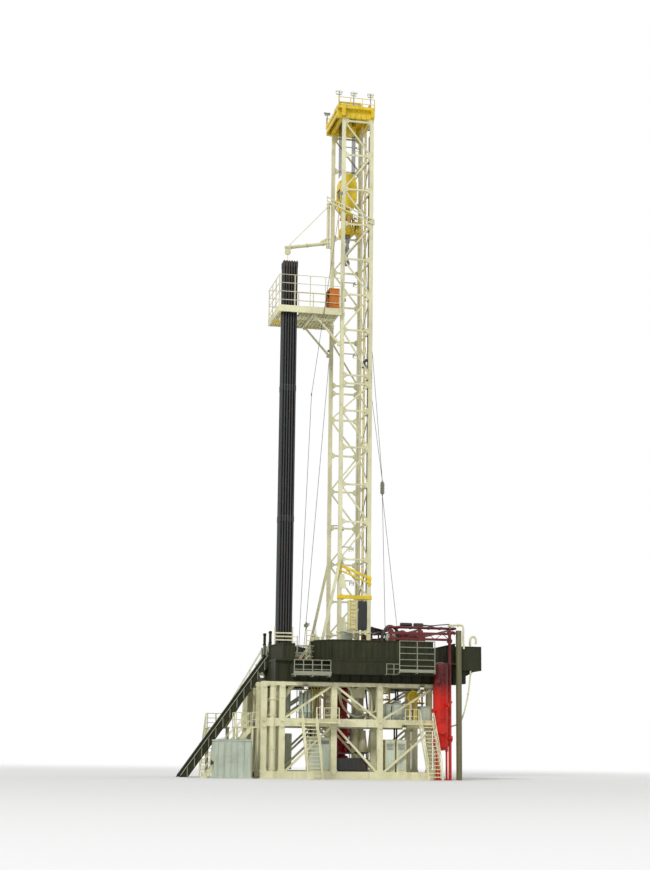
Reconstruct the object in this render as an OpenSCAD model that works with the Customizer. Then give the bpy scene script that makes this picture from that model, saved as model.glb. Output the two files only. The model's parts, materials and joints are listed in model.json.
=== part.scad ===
// Land drilling rig, drawn at half of its real size.
// The origin is on the well centre at ground level. +X runs to the drawworks, -X down the pipe ramp,
// +Y away from the side that the picture shows, +Z up. All lengths are millimetres of the model.

/* [Substructure] */
// Height of the lower boxes
lower_box_h = 1875; // [1700:25:2100]
// Height of the upper boxes
upper_box_h = 1325; // [1200:25:1500]
// Length of the boxes
box_len = 6200; // [5800:50:6600]
// Distance from the well centre to the front end of the boxes
box_front = 3200; // [3000:50:3400]
// Distance from the well centre line to the outer truss of a box
truss_out_y = 1880; // [1800:10:1950]
// Distance from the well centre line to the inner truss of a box
truss_in_y = 950; // [800:10:1100]
// Width of a column along the truss
column_w = 200; // [160:10:240]
// Depth of a column across the truss
column_t = 150; // [120:10:160]
// Width of the truss beams
beam_t = 180; // [165:5:200]
// Height of the skid beams on the ground
skid_h = 250; // [180:10:320]
// Height of the beams at the top of a box
top_beam_h = 150; // [120:5:240]
// Width of the diagonal braces
box_brace_w = 70; // [50:5:110]
// Diameter of the round jacking columns
jack_d = 220; // [180:10:230]
// Thickness of the grating at mid height
mid_deck_t = 30; // [20:5:40]

/* [Drill floor] */
// Depth of the floor girders
girder_h = 720; // [600:20:800]
// Thickness of the deck
deck_t = 30; // [20:5:50]
// Distance from the well centre to the front edge of the floor
floor_front = 2730; // [2650:20:2830]
// Distance from the well centre to the step where the floor gets wide
floor_step_front = 900; // [850:25:1100]
// Distance from the well centre to the step where the floor gets narrow again
floor_step_rear = 2650; // [2500:25:2750]
// Distance from the well centre to the rear edge of the floor
floor_rear = 3600; // [3400:50:3800]
// Half width of the narrow stretches of the floor
floor_narrow = 2000; // [1980:5:2050]
// Half width of the wide stretch of the floor
floor_wide = 2400; // [2350:10:2500]
// Height of the wind walls above the deck
wall_h = 675; // [550:25:900]
// Height of the walls around the setback
setback_wall_h = 540; // [450:30:675]
// Thickness of the wind walls
wall_t = 60; // [40:5:80]
// Half width of the door opening that the pipe comes through
v_door_half = 600; // [580:10:700]
// Diameter of the hole through the rotary table
rotary_bore = 350; // [250:10:420]
// Width of the rotary table
rotary_w = 800; // [700:20:900]
// Height that the rotary table stands above the deck
rotary_proud = 40; // [20:5:80]

/* [Walkways and stairs] */
// Drop from the deck to the lower walkway
walkway_drop = 500; // [400:25:600]
// Length of the lower walkway
walkway_len = 1300; // [1000:50:1600]
// Height of the handrails
rail_h = 475; // [400:25:550]
// Width across the flats of a handrail tube
rail_d = 26; // [20:2:36]
// Width of a stair flight
stair_w = 400; // [350:10:450]
// Height of the stair landings
landing_h = 1700; // [1500:50:1800]
// Run of the lower near flight
near_lower_run = 1650; // [1500:50:1900]
// Run of the upper near flight
near_upper_run = 1700; // [1650:10:1720]
// Run of the steep flights at the side
side_run = 1200; // [800:50:1300]
// Width of the steep flights at the side
side_stair_w = 500; // [400:10:520]
// Width of the stair beside the ramp
ramp_stair_w = 330; // [300:5:340]
// Run of the upper flight beside the ramp
ramp_stair_run = 1335; // [1200:15:1500]
// Number of treads for each metre of height
treads_per_m = 8; // [6:1:10]

/* [Pipe ramp] */
// Width of the pipe ramp
ramp_w = 1000; // [900:20:1040]
// Distance from the floor's front edge to the foot of the ramp
ramp_run = 2970; // [2700:30:3300]
// Depth of the ramp's side beams
ramp_beam = 240; // [220:10:300]
// Height of the ramp's side beams above the deck at the floor
ramp_lip = 220; // [160:10:300]

/* [Mast] */
// Offset of the mast's centre behind the well centre
mast_x = 200; // [150:10:240]
// Distance between the front and back legs
mast_depth = 1050; // [950:10:1200]
// Distance between the near and far legs
mast_width = 1800; // [1700:20:2000]
// Width of a mast leg
leg_w = 130; // [110:5:150]
// Width of the mast's braces
brace_w = 60; // [44:4:76]
// Height of the mast's top above the deck
mast_h = 20000; // [19000:100:20500]
// Height above the deck of the joint between the two mast sections
mast_joint_h = 10075; // [9800:25:10300]
// Height of a regular panel
panel_h = 1335; // [1300:5:1350]
// Height of the mast's shoes
shoe_h = 150; // [100:10:200]

/* [Crown] */
// Height of the crown frame above the mast's top
crown_h = 850; // [820:10:1000]
// Width of the crown platform across the mast
crown_w = 2200; // [2100:20:2400]
// Number of crown sheaves
sheaves = 5; // [3:1:6]
// Diameter of the crown sheaves
sheave_d = 520; // [480:10:560]

/* [Racking board] */
// Height of the racking board above the deck
board_h = 12520; // [12000:20:12700]
// Distance from the mast's front legs to the end of the board
board_len = 2300; // [2200:25:2700]
// Half width of the board
board_half = 1100; // [1000:25:1250]
// Depth of the board's edge beams
board_beam = 140; // [100:10:200]
// Height of the board's rails
board_rail_h = 1250; // [1000:25:1400]
// Diameter of the drill pipe
pipe_d = 64; // [50:1:70]
// Distance between pipes
pipe_pitch = 92; // [88:1:96]
// Length of a stand of pipe
stand_len = 14100; // [13500:100:14500]

/* [Hoist] */
// Height above the deck of the lowest point of the top drive at rest
hoist_h = 14600; // [13000:100:14800]
// Height of the travelling block
block_h = 1350; // [1100:50:1500]
// Width of the travelling block across the mast
block_w = 700; // [560:20:900]
// Depth of the travelling block
block_t = 640; // [600:10:660]
// Height of the top drive with its links
drive_h = 2100; // [1800:50:2400]
// Diameter of the drilling lines
line_d = 24; // [18:2:32]

/* [Jib] */
// Length of the jib's boom
jib_len = 1600; // [1400:50:2000]
// Height of the jib's hinge above the deck
jib_h = 15700; // [15300:50:16000]
// Diameter of the jib's boom
jib_d = 130; // [90:5:160]

/* [Machinery] */
// Diameter of the gas separator
separator_d = 525; // [450:25:600]
// Height of the gas separator's lower end
separator_foot = 1150; // [900:50:1400]
// Length of the gas separator's shell
separator_len = 2700; // [2500:50:2900]
// Diameter of the drawworks drum
drum_d = 560; // [460:20:640]
// Diameter of the blowout preventer's bodies
preventer_d = 420; // [360:20:480]

/* [Hidden] */

seat = 0.3;
near = -1;
far = 1;

deck_z = lower_box_h + upper_box_h + girder_h + deck_t;
girder_top = deck_z - deck_t;
girder_z = lower_box_h + upper_box_h;
box_rear = box_len - box_front;
mid_z = lower_box_h;
columns_x = [-box_front + column_w / 2, -box_front + 3.6 * column_w, -700, 900,
    box_rear - column_w / 2];

leg_front = mast_x - mast_depth / 2;
leg_back = mast_x + mast_depth / 2;
leg_y = mast_width / 2;
mast_joint = deck_z + mast_joint_h;
mast_top = deck_z + mast_h;
joint_gap = 150;
lower_first = deck_z + 1050;
mast_foot = lower_first - brace_w / 2;
lower_levels = [lower_first, lower_first + 1200, for (i = [1:5]) lower_first + 1200 + i * panel_h,
    mast_joint - joint_gap];
upper_first = mast_joint + joint_gap;
upper_levels = [upper_first, upper_first + 1675, for (i = [1:5]) upper_first + 1675 + i * panel_h,
    mast_top - 100];

rail_x0 = 1375;
mat_t = 120;
board_z = deck_z + board_h;
board_x1 = leg_front - leg_w / 2 - seat;
board_x0 = board_x1 - board_len;

hoist_z = deck_z + hoist_h;
drive_top = hoist_z + drive_h;
block_top = drive_top + block_h;

module span(x, y, z) {
    translate([x[0], y[0], z[0]])
        cube([x[1] - x[0], y[1] - y[0], z[1] - z[0]]);
}

// A square bar from one point to another
module bar(p, q, w, t) {
    v = q - p;
    length = norm(v);
    translate(p)
        rotate([0, acos(v.z / length), atan2(v.y, v.x)])
            translate([-w / 2, -t / 2, 0])
                cube([w, t, length]);
}

// An eight-sided tube from one point to another
module rod(p, q, d, sides = 8) {
    v = q - p;
    length = norm(v);
    translate(p)
        rotate([0, acos(v.z / length), atan2(v.y, v.x)])
            cylinder(d = d, h = length, $fn = sides);
}

// A straight handrail between two points on a level or sloping base line
module handrail(p, q, h = rail_h, posts = 3, rails = 2, post_d = rail_d * 1.3) {
    for (i = [0:posts - 1]) {
        foot = p + (q - p) * i / (posts - 1);
        rod(foot, foot + [0, 0, h], post_d);
    }
    for (k = [1:rails])
        rod(p + [0, 0, h * k / rails - rail_d / 2], q + [0, 0, h * k / rails - rail_d / 2], rail_d, 6);
}

// A stair flight that starts at the top on the Y axis and comes down along +X
module flight(run, rise, width, rails = true) {
    steps = round(rise / 1000 * treads_per_m);
    slope = rise / run;
    string_v = 190;
    string_t = 24;
    for (side = [-1, 1])
        translate([0, side * (width - string_t) / 2 + string_t / 2, 0])
            rotate([90, 0, 0])
                linear_extrude(string_t)
                    polygon([[0, rise], [0, rise - string_v], [run - string_v / slope, 0], [run, 0]]);
    tread_w = width - 2 * string_t - 2 * seat;
    for (i = [1:steps - 1])
        translate([(i - 0.75) * run / steps, -tread_w / 2, rise - i * rise / steps - 20])
            cube([run / steps * 1.1, tread_w, 20]);
    if (rails)
        for (side = [-1, 1]) {
            y = side * (width - string_t) / 2;
            top = [20, y, rise - 60];
            foot = [run - 90, y, 90 * slope - 60];
            handrail(top, foot, rail_h + 60, 4, 2, string_t - 1);
        }
}

// One truss of a box in the XZ plane
module box_truss(z0, h, foot_h, head_h) {
    span([-box_front, box_rear], [-beam_t / 2, beam_t / 2], [z0, z0 + foot_h]);
    span([-box_front, box_rear], [-beam_t / 2, beam_t / 2], [z0 + h - head_h, z0 + h]);
    for (x = columns_x)
        span([x - column_w / 2, x + column_w / 2], [-column_t / 2, column_t / 2],
            [z0 + foot_h / 2, z0 + h - head_h / 2]);
    for (i = [1:3])
        let (up = i % 2)
            bar([columns_x[i], 0, up ? z0 + foot_h / 2 : z0 + h - head_h / 2],
                [columns_x[i + 1], 0, up ? z0 + h - head_h / 2 : z0 + foot_h / 2],
                box_brace_w, box_brace_w);
}

// A box has an outer and an inner truss and a round jacking column. Ties run across at the columns,
// except where the near stair comes up between the trusses.
module truss_box(side, z0, h, foot_h, head_h) {
    for (y = [truss_out_y, truss_in_y])
        translate([0, side * y, 0])
            box_truss(z0, h, foot_h, head_h);
    y_in = truss_in_y + beam_t / 2 + seat;
    y_out = truss_out_y - beam_t / 2 - seat;
    for (x = columns_x, z = [z0 + foot_h / 2, z0 + h - head_h / 2])
        if (side > 0 || z < landing_h || x > columns_x[1] || (x > columns_x[0] && z < girder_z - 200))
            span([x - 60, x + 60], side < 0 ? [-y_out, -y_in] : [y_in, y_out], [z - 55, z + 55]);
    translate([(columns_x[0] + columns_x[1]) / 2, side * truss_out_y, z0])
        cylinder(d = jack_d, h = h, $fn = 32);
}

module lower_box(side) {
    color("ivory") truss_box(side, 0, lower_box_h, skid_h, top_beam_h);
}

module upper_box(side) {
    color("ivory") truss_box(side, lower_box_h, upper_box_h, 115, 125);
}

module base_spreaders() {
    color("dimgray")
        for (x = [columns_x[0], 900, columns_x[4]])
            span([x - 100, x + 100], [-truss_in_y + beam_t / 2, truss_in_y - beam_t / 2], [0, skid_h - 50]);
}

module mid_decks() {
    y_in = truss_in_y + beam_t / 2;
    y_out = truss_out_y - max(beam_t, jack_d) / 2 - seat;
    color("gray")
        for (side = [near, far], i = [0:3])
            if (side > 0 || i > 0)
                span([columns_x[i] + (i == 0 ? 70 : 110), columns_x[i + 1] - 110],
                    side < 0 ? [-y_out, -y_in] : [y_in, y_out], [mid_z - mid_deck_t, mid_z]);
}

// A girder with a web and two flanges along X
module i_girder(x0, x1, y, z0, h, flange, web) {
    span([x0, x1], [y - web / 2, y + web / 2], [z0, z0 + h]);
    for (z = [z0, z0 + h - web])
        span([x0, x1], [y - flange / 2, y + flange / 2], [z, z + web]);
}

module floor_girders(side) {
    color("darkolivegreen") {
        for (y = [truss_out_y, truss_in_y])
            i_girder(-floor_front, floor_rear, side * y, girder_z, girder_h, 200, 40);
        // Brackets that carry the wide stretch
        for (x = [-floor_step_front + 60, 300, 1500, floor_step_rear - 60])
            span([x - 50, x + 50],
                side < 0 ? [-floor_wide, -truss_out_y] : [truss_out_y, floor_wide],
                [girder_top - 400, girder_top]);
        // Edge beam of the wide stretch
        span([-floor_step_front, floor_step_rear],
            side < 0 ? [-floor_wide, -floor_wide + 60] : [floor_wide - 60, floor_wide],
            [girder_top - 450, girder_top]);
        // Ends that close the box between the two girders
        y_in = truss_in_y + 20 + seat;
        y_out = truss_out_y - 20 - seat;
        for (x = [-floor_front, floor_rear - 60])
            span([x, x + 60], side < 0 ? [-y_out, -y_in] : [y_in, y_out],
                [girder_z + 40 + seat, girder_top - 40 - seat]);
    }
}

module cross_girders() {
    reach = truss_in_y - 100;
    color("darkolivegreen")
        for (x = [-floor_front + 50, -1500, -650, 650, 2200, floor_rear - 50])
            span([x - 50, x + 50], [-reach, reach], [girder_z + 60, girder_top]);
}

// Deck panels lie a hair apart, around the hole for the rotary table
module drill_floor() {
    hole = rotary_w / 2 + seat;
    z = [girder_top, deck_z];
    color("dimgray") {
        difference() {
            span([-floor_front, -floor_step_front - seat], [-floor_narrow, floor_narrow], z);
            // Hatch over the near stair
            span([main_top_x - 760, main_top_x], [main_stair_y - hatch_half, main_stair_y + hatch_half],
                [girder_top - 1, deck_z + 1]);
        }
        span([-floor_step_front, -hole - seat], [-floor_wide, floor_wide], z);
        for (side = [near, far])
            span([-hole, hole], side < 0 ? [-floor_wide, -hole] : [hole, floor_wide], z);
        span([hole + seat, floor_step_rear], [-floor_wide, floor_wide], z);
        span([floor_step_rear + seat, floor_rear], [-floor_narrow + 100, floor_narrow - 100], z);
    }
}

module rotary_table() {
    ledge = 650 - 50 - seat;
    color("silver")
        difference() {
            union() {
                span([-rotary_w / 2, rotary_w / 2], [-rotary_w / 2, rotary_w / 2],
                    [girder_top - 120, deck_z]);
                // Cradle beams that reach to the cross girders
                for (y = [-rotary_w / 2 + 60, rotary_w / 2 - 60])
                    span([-ledge, ledge], [y - 40, y + 40], [girder_top - 220, girder_top - 20]);
                translate([0, 0, deck_z - 10])
                    cylinder(d = rotary_w * 0.85, h = rotary_proud + 10, $fn = 48);
            }
            translate([0, 0, girder_top - 300])
                cylinder(d = rotary_bore, h = 800, $fn = 48);
        }
}

module setback_mats() {
    color("saddlebrown")
        for (side = [near, far])
            span([-floor_front + 210, -floor_step_front - 400],
                side < 0 ? [-1270, -400] : [400, 1270], [deck_z, deck_z + mat_t]);
}

module side_walls() {
    color("darkslategray")
        for (y = [-floor_wide, floor_wide - wall_t])
            span([-floor_step_front, floor_step_rear], [y, y + wall_t], [deck_z, deck_z + wall_h]);
}

// The slanting walls from the wide stretch towards the setback
module front_walls() {
    y0 = floor_wide - wall_t - seat;
    slant = 570;
    color("darkslategray")
        translate([0, 0, deck_z])
            for (side = [near, far])
                linear_extrude(wall_h)
                    polygon([[-floor_step_front, side * y0], [-floor_step_front + wall_t, side * y0],
                        [-floor_step_front - slant + wall_t, side * 1500],
                        [-floor_step_front - slant, side * 1500]]);
}

// The walls around the pipe stands leave the door opening free
module setback_walls() {
    corner_x = -floor_front + 230;
    y_out = floor_narrow - wall_t - seat;
    color("darkslategray")
        translate([0, 0, deck_z])
            for (side = [near, far]) {
                linear_extrude(setback_wall_h)
                    polygon([[-floor_front, side * v_door_half],
                        [-floor_front + wall_t, side * v_door_half],
                        [corner_x + wall_t, side * y_out], [corner_x, side * y_out]]);
                span([corner_x, corner_x + 390], side < 0 ? [-floor_narrow, -y_out - seat]
                    : [y_out + seat, floor_narrow], [0, setback_wall_h]);
                // Posts beside the door opening
                span([-floor_front, -floor_front + 90], side < 0 ? [-v_door_half + seat, -v_door_half + 90]
                    : [v_door_half - 90, v_door_half - seat], [0, 1030]);
            }
}

module rear_wall() {
    color("darkslategray")
        span([floor_rear - wall_t, floor_rear], [-floor_narrow + 100, floor_narrow - 100],
            [deck_z, deck_z + wall_h]);
}

// The rails stand outside the floor's edge, past the end of the near wall
module guard_rails() {
    x0 = rail_x0;
    x1 = floor_step_rear;
    reach = 260;
    z = deck_z - 390;
    color("gainsboro")
        for (side = [near, far]) {
            y = side < 0 ? [-floor_wide - reach, -floor_wide - seat]
                : [floor_wide + seat, floor_wide + reach];
            span([x0, x1], y, [z, z + 20]);
            for (x = [x0 + 20, (x0 + x1) / 2, x1 - 20])
                span([x - 15, x + 15], y, [z - 40, z + 10]);
            translate([0, side * (floor_wide + reach - 20), z + 20 + seat])
                handrail([x0 + 20, 0, 0], [x1 - 20, 0, 0], wall_h + 370, 3, 5);
        }
}

module lower_walkways() {
    z = deck_z - walkway_drop;
    x0 = -floor_step_front - walkway_len;
    x1 = -floor_step_front - seat;
    y = [truss_out_y + 100 + seat, floor_wide];
    web = truss_out_y + 20 + seat;
    color("gainsboro")
        for (side = [near, far]) {
            span([x0, x1], side < 0 ? [-y[1], -y[0]] : y, [z - 40, z]);
            for (x = [x0 + 60, (x0 + x1) / 2, x1 - 60])
                span([x - 20, x + 20], side < 0 ? [-y[1] + 10, -web] : [web, y[1] - 10], [z - 90, z - 30]);
            translate([0, side * (floor_wide - 25), z + seat])
                handrail([x0 + 25, 0, 0], [x1 - 25, 0, 0], rail_h, 5, 3);
        }
}

module pipe_ramp() {
    top_z = deck_z + ramp_lip;
    slope = top_z / ramp_run;
    drop = ramp_beam / cos(atan(slope));
    cheek_t = 80;
    color("darkolivegreen")
        translate([-floor_front - seat, 0, 0])
            rotate([90, 0, 0]) {
                for (y = [-ramp_w / 2, ramp_w / 2 - cheek_t])
                    translate([0, 0, y])
                        linear_extrude(cheek_t)
                            polygon([[0, top_z], [0, top_z - drop], [-ramp_run + drop / slope, 0],
                                [-ramp_run, 0]]);
                translate([0, 0, -ramp_w / 2 + cheek_t + seat])
                    linear_extrude(ramp_w - 2 * cheek_t - 2 * seat)
                        polygon([[0, top_z - drop * 0.45], [0, top_z - drop * 0.55],
                            [-ramp_run + drop * 0.55 / slope, 0], [-ramp_run + drop * 0.45 / slope, 0]]);
            }
}

// The near stair climbs to a landing in front of the boxes, and on between the trusses to a hatch
main_stair_y = -1330 - stair_w / 2;
main_stair_x = -box_front - 300;
main_top_x = -floor_front + 1240;
hatch_half = stair_w / 2 + 25;

module main_stair_upper() {
    color("ivory")
        translate([main_top_x - seat, main_stair_y, landing_h + seat])
            rotate([0, 0, 180])
                flight(near_upper_run, deck_z - landing_h - seat, stair_w);
}

module main_stair_lower() {
    x0 = -box_front - 750;
    x1 = -box_front - seat;
    x2 = -box_front + 100;
    y0 = main_stair_y - stair_w / 2;
    y1 = main_stair_y + stair_w / 2;
    y2 = -ramp_w / 2 - 10;
    color("ivory") {
        translate([main_stair_x - seat, main_stair_y, 0])
            rotate([0, 0, 180])
                flight(near_lower_run, landing_h, stair_w);
        translate([0, 0, landing_h - 50]) {
            span([x0, x1], [y1 + 20, y2], [0, 50]);
            span([main_stair_x, x2], [y0, y1 + 30], [0, 50]);
        }
        for (p = [[x0 + 60, y1 + 60], [x0 + 60, y2 - 40], [x1 - 60, y2 - 40], [x1 - 60, y0 + 40],
                [main_stair_x + 60, y0 + 40]])
            span([p.x - 30, p.x + 30], [p.y - 30, p.y + 30], [0, landing_h - 50 - seat]);
        translate([0, 0, landing_h + seat]) {
            handrail([x0 + 20, y1 + 40, 0], [main_stair_x - 60, y1 + 40, 0], rail_h, 3, 2);
            handrail([x0 + 20, y1 + 90, 0], [x0 + 20, y2 - 20, 0], rail_h, 3, 2);
            handrail([main_stair_x + 40, y0 + 20, 0], [x1 - 40, y0 + 20, 0], rail_h, 2, 2);
        }
    }
}

// The far stair runs beside the ramp to the drill floor
ramp_stair_y = ramp_w / 2 + 10 + ramp_stair_w / 2;
ramp_landing_x1 = -floor_front - seat - ramp_stair_run;

module ramp_stair_upper() {
    color("ivory")
        translate([-floor_front - seat, ramp_stair_y, landing_h + seat])
            rotate([0, 0, 180])
                flight(ramp_stair_run, deck_z - landing_h - seat, ramp_stair_w);
}

module ramp_stair_lower() {
    x0 = ramp_landing_x1 - 600;
    x1 = ramp_landing_x1 + 200;
    y0 = ramp_stair_y - ramp_stair_w / 2;
    y1 = ramp_stair_y + ramp_stair_w / 2 + 100;
    color("ivory") {
        span([x0, x1], [y0, y1], [landing_h - 50, landing_h]);
        for (x = [x0 + 50, x1 - 50], y = [y0 + 40, y1 - 40])
            span([x - 30, x + 30], [y - 30, y + 30], [0, landing_h - 50 - seat]);
        translate([x0 + stair_w / 2, y1 + seat, 0])
            rotate([0, 0, 90])
                flight(1400, landing_h, stair_w);
        translate([0, 0, landing_h + seat]) {
            handrail([x0 + 20, y0 + 20, 0], [ramp_landing_x1 - 20, y0 + 20, 0], rail_h, 3, 3);
            handrail([x0 + 20, y0 + 70, 0], [x0 + 20, y1 - 20, 0], rail_h, 2, 3);
        }
    }
}

// Steep stairs from the mid deck down to the ground on the near side
module side_stair(x, landing_len, dir) {
    y0 = -truss_out_y - beam_t / 2 - seat;
    x0 = dir < 0 ? x : x - landing_len;
    landing_y = y0 - 420;
    color("ivory") {
        span([x0, x0 + landing_len + side_stair_w], [landing_y, y0], [mid_z - 50, mid_z]);
        translate([x + side_stair_w / 2, landing_y - seat, 0])
            rotate([0, 0, -90])
                flight(side_run, mid_z, side_stair_w);
        translate([0, landing_y + 20, mid_z + seat])
            handrail([dir < 0 ? x + side_stair_w + 20 : x0 + 20, 0, 0],
                [dir < 0 ? x0 + landing_len + side_stair_w - 20 : x - 20, 0, 0], rail_h, 4, 2);
    }
}

module near_left_stair() {
    side_stair(-1900, 800, -1);
}

module near_right_stair() {
    side_stair(2150, 500, 1);
}

// Mast side truss in the XZ plane, legs and braces in one plane
module mast_side(y, z0, z1, levels, flip) {
    translate([0, y, 0]) {
        for (x = [leg_front, leg_back])
            span([x - leg_w / 2, x + leg_w / 2], [-leg_w / 2, leg_w / 2], [z0, z1]);
        for (z = levels)
            span([leg_front, leg_back], [-brace_w / 2, brace_w / 2], [z - brace_w / 2, z + brace_w / 2]);
        for (i = [0:len(levels) - 2])
            let (rise = (i + flip) % 2 == 0)
                bar([rise ? leg_front : leg_back, 0, levels[i]],
                    [rise ? leg_back : leg_front, 0, levels[i + 1]], brace_w - 8, brace_w - 8);
    }
}

module mast_back(z0, z1, levels) {
    y_in = leg_y - leg_w / 2;
    chord = 60;
    translate([leg_back, 0, 0]) {
        for (side = [near, far])
            span([-chord / 2, chord / 2], side < 0 ? [-y_in, -y_in + chord] : [y_in - chord, y_in],
                [z0, z1]);
        for (z = levels)
            span([-20, 20], [-y_in + chord / 2, y_in - chord / 2], [z - 25, z + 25]);
        for (i = [0:len(levels) - 2])
            let (side = i % 2 == 0 ? 1 : -1)
                bar([0, -side * (y_in - chord / 2), levels[i]],
                    [0, side * (y_in - chord / 2), levels[i + 1]], 36, 36);
    }
}

module mast_near_lower() {
    color("ivory") mast_side(-leg_y, mast_foot, mast_joint, lower_levels, 0);
}

module mast_far_lower() {
    color("ivory") mast_side(leg_y, mast_foot, mast_joint, lower_levels, 0);
}

module mast_back_lower() {
    color("ivory") mast_back(mast_foot, mast_joint, lower_levels);
}

module mast_near_upper() {
    color("ivory") mast_side(-leg_y, mast_joint, mast_top, upper_levels, 1);
}

module mast_far_upper() {
    color("ivory") {
        mast_side(leg_y, mast_joint, mast_top, upper_levels, 1);
        // Lugs above and below the jib's post
        for (z = [jib_foot - seat - 30, jib_foot + jib_post_h + seat])
            span([jib_x - 60, leg_front - leg_w / 2 + 20], [leg_y - 55, leg_y + 55], [z, z + 30]);
    }
}

module mast_back_upper() {
    color("ivory") mast_back(mast_joint, mast_top, upper_levels);
}

// The shoes and the short legs on them leave the mast's foot open to walk through
module mast_shoes() {
    color("ivory")
        for (x = [leg_front, leg_back], y = [-leg_y, leg_y]) {
            span([x - leg_w, x + leg_w], [y - leg_w, y + leg_w], [deck_z, deck_z + 50]);
            span([x - leg_w * 0.6, x + leg_w * 0.6], [y - leg_w * 0.6, y + leg_w * 0.6],
                [deck_z, deck_z + shoe_h]);
            span([x - leg_w / 2, x + leg_w / 2], [y - leg_w / 2, y + leg_w / 2],
                [deck_z, mast_foot - seat]);
        }
}

// Struts that hold the mast's foot, from the sides of the front legs down to the deck
module mast_struts() {
    wide = 90;
    foot_z = deck_z + 60;
    head_z = deck_z + 3600;
    color("ivory")
        for (s = [near, far]) {
            y = s * (leg_y + leg_w / 2 + wide / 2 + seat);
            x = leg_front - 760;
            bar([x, y, foot_z], [leg_front, y, head_z], wide, wide);
            span([x - 130, x + 130], [y - 80, y + 80], [deck_z, deck_z + 130]);
        }
}

module guide_track() {
    x = leg_back - leg_w / 2 - 120;
    color("ivory") {
        for (y = [-180, 180])
            span([x - 30, x + 30], [y - 30, y + 30], [deck_z, mast_top]);
        for (z = [deck_z + 600:1500:mast_top])
            span([x - 20, x + 20], [-180, 180], [z - 30, z + 30]);
        held = [lower_levels[1], lower_levels[4], upper_levels[1], upper_levels[4], upper_levels[6]];
        for (z = held, y = [-180, 180])
            span([x + 30 + seat, leg_back - 20 - seat], [y - 20, y + 20], [z - 20, z + 20]);
    }
}

module standpipe() {
    x = leg_back + 90;
    color("dimgray")
        for (y = [-430, -560])
            translate([x, y, deck_z])
                cylinder(d = 90, h = mast_joint_h + 600, $fn = 24);
}

module crown_frame() {
    z0 = mast_top;
    side = leg_w / 2;
    cx = mast_x - 100;
    reach = 700;
    axle_y = 420;
    sheave_half = sheave_d / 2 + 60;
    end_x = sheave_half + 100;
    post_x = end_x - 30;
    color("gold") {
        // Deep beams on top of the legs
        for (y = [-leg_y, leg_y])
            span([cx - reach, cx + reach], [y - side, y + side], [z0, z0 + 350]);
        for (x = [-sheave_half - 60, leg_back])
            span([x - side, x + side], [-crown_w / 2, crown_w / 2], [z0 + 40, z0 + 330]);
        // Cheeks that carry the sheave axle, and the ends of the box
        for (y = [-axle_y, axle_y])
            span([-end_x, end_x], [y - 30, y + 30], [z0 + 330, z0 + crown_h - 100]);
        for (x = [-end_x, end_x])
            span([x - 30, x + 30], [-axle_y - 20, axle_y + 20], [z0 + 330, z0 + 480]);
        // Sloping side plates
        for (s = [-1, 1])
            bar([cx + s * 560, 0, z0 + 640], [cx + s * reach, 0, z0 + 60], 50, crown_w * 0.8);
        // Platform around the sheaves, and its rails
        difference() {
            span([cx - reach, cx + reach], [-crown_w / 2, crown_w / 2], [z0 + 320, z0 + 350]);
            span([-sheave_half, sheave_half], [-axle_y, axle_y], [z0 + 300, z0 + 400]);
        }
        for (y = [-crown_w / 2 + 20, crown_w / 2 - 20])
            translate([cx, y, z0 + 350 + seat])
                handrail([-reach + 20, 0, 0], [reach - 20, 0, 0], 410, 4, 2);
        // Top frame over the sheaves
        for (y = [-axle_y, axle_y], x = [-post_x, post_x])
            span([x - 30, x + 30], [y - 25, y + 25], [z0 + crown_h - 110, z0 + crown_h]);
        for (y = [-axle_y, axle_y])
            span([-end_x, end_x], [y - 25, y + 25], [z0 + crown_h - 60, z0 + crown_h]);
        for (x = [-post_x, post_x])
            span([x - 25, x + 25], [-axle_y - 20, axle_y + 20], [z0 + crown_h - 60, z0 + crown_h]);
    }
}

sheave_z = mast_top + 560;
sheave_pitch = 130;

module crown_sheaves() {
    axle_half = 390 - seat;
    color("gray")
        translate([0, 0, sheave_z])
            rotate([90, 0, 0]) {
                for (i = [0:sheaves - 1])
                    translate([0, 0, (i - (sheaves - 1) / 2) * sheave_pitch - 30])
                        cylinder(d = sheave_d, h = 60, $fn = 48);
                translate([0, 0, -axle_half])
                    cylinder(d = 120, h = 2 * axle_half, $fn = 32);
            }
}

module crown_lamps() {
    z = mast_top + 350;
    x = [mast_x - 760, mast_x - 200, mast_x + 440];
    y = crown_w / 2 - 70;
    color("lightyellow")
        for (p = [[x[0], -y], [x[1], -y], [x[2], -y], [x[0], y], [x[2], y]]) {
            span([p.x - 20, p.x + 20], [p.y - 20, p.y + 20], [z, z + 500]);
            span([p.x - 110, p.x + 110], [p.y - 60, p.y + 60], [z + 450, z + 650]);
        }
}

fingers_x = board_x1 - 1520;
first_row_x = fingers_x - 110;
dive_half = 230;

// Board of beams, a diving board down the middle and grating next to the mast
module racking_board() {
    edge = 60;
    z = [board_z - board_beam, board_z];
    y_in = board_half - edge - seat;
    color("khaki") {
        for (y = [-board_half, board_half - edge])
            span([board_x0, board_x1], [y, y + edge], z);
        span([board_x0, board_x0 + edge], [-y_in, y_in], z);
        span([board_x0 + edge + seat, board_x1], [-dive_half, dive_half], [board_z - 60, board_z]);
        span([brace_head_x - 20, brace_head_x + 80], [-y_in, y_in], [z[0], board_z - 60 - seat]);
        for (side = [near, far])
            span([fingers_x + 60, board_x1],
                side < 0 ? [-y_in, -dive_half - seat] : [dive_half + seat, y_in],
                [board_z - 40, board_z - 5]);
    }
}

// Fingers that keep the rows of pipe apart
module racking_fingers() {
    y_in = board_half - 60 - seat;
    color("khaki")
        for (side = [near, far], i = [0:6])
            let (x = first_row_x + (0.5 - i) * pipe_pitch)
                span([x - 5, x + 5], side < 0 ? [-y_in, -dive_half - seat] : [dive_half + seat, y_in],
                    [board_z - 80, board_z - 10]);
}

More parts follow.
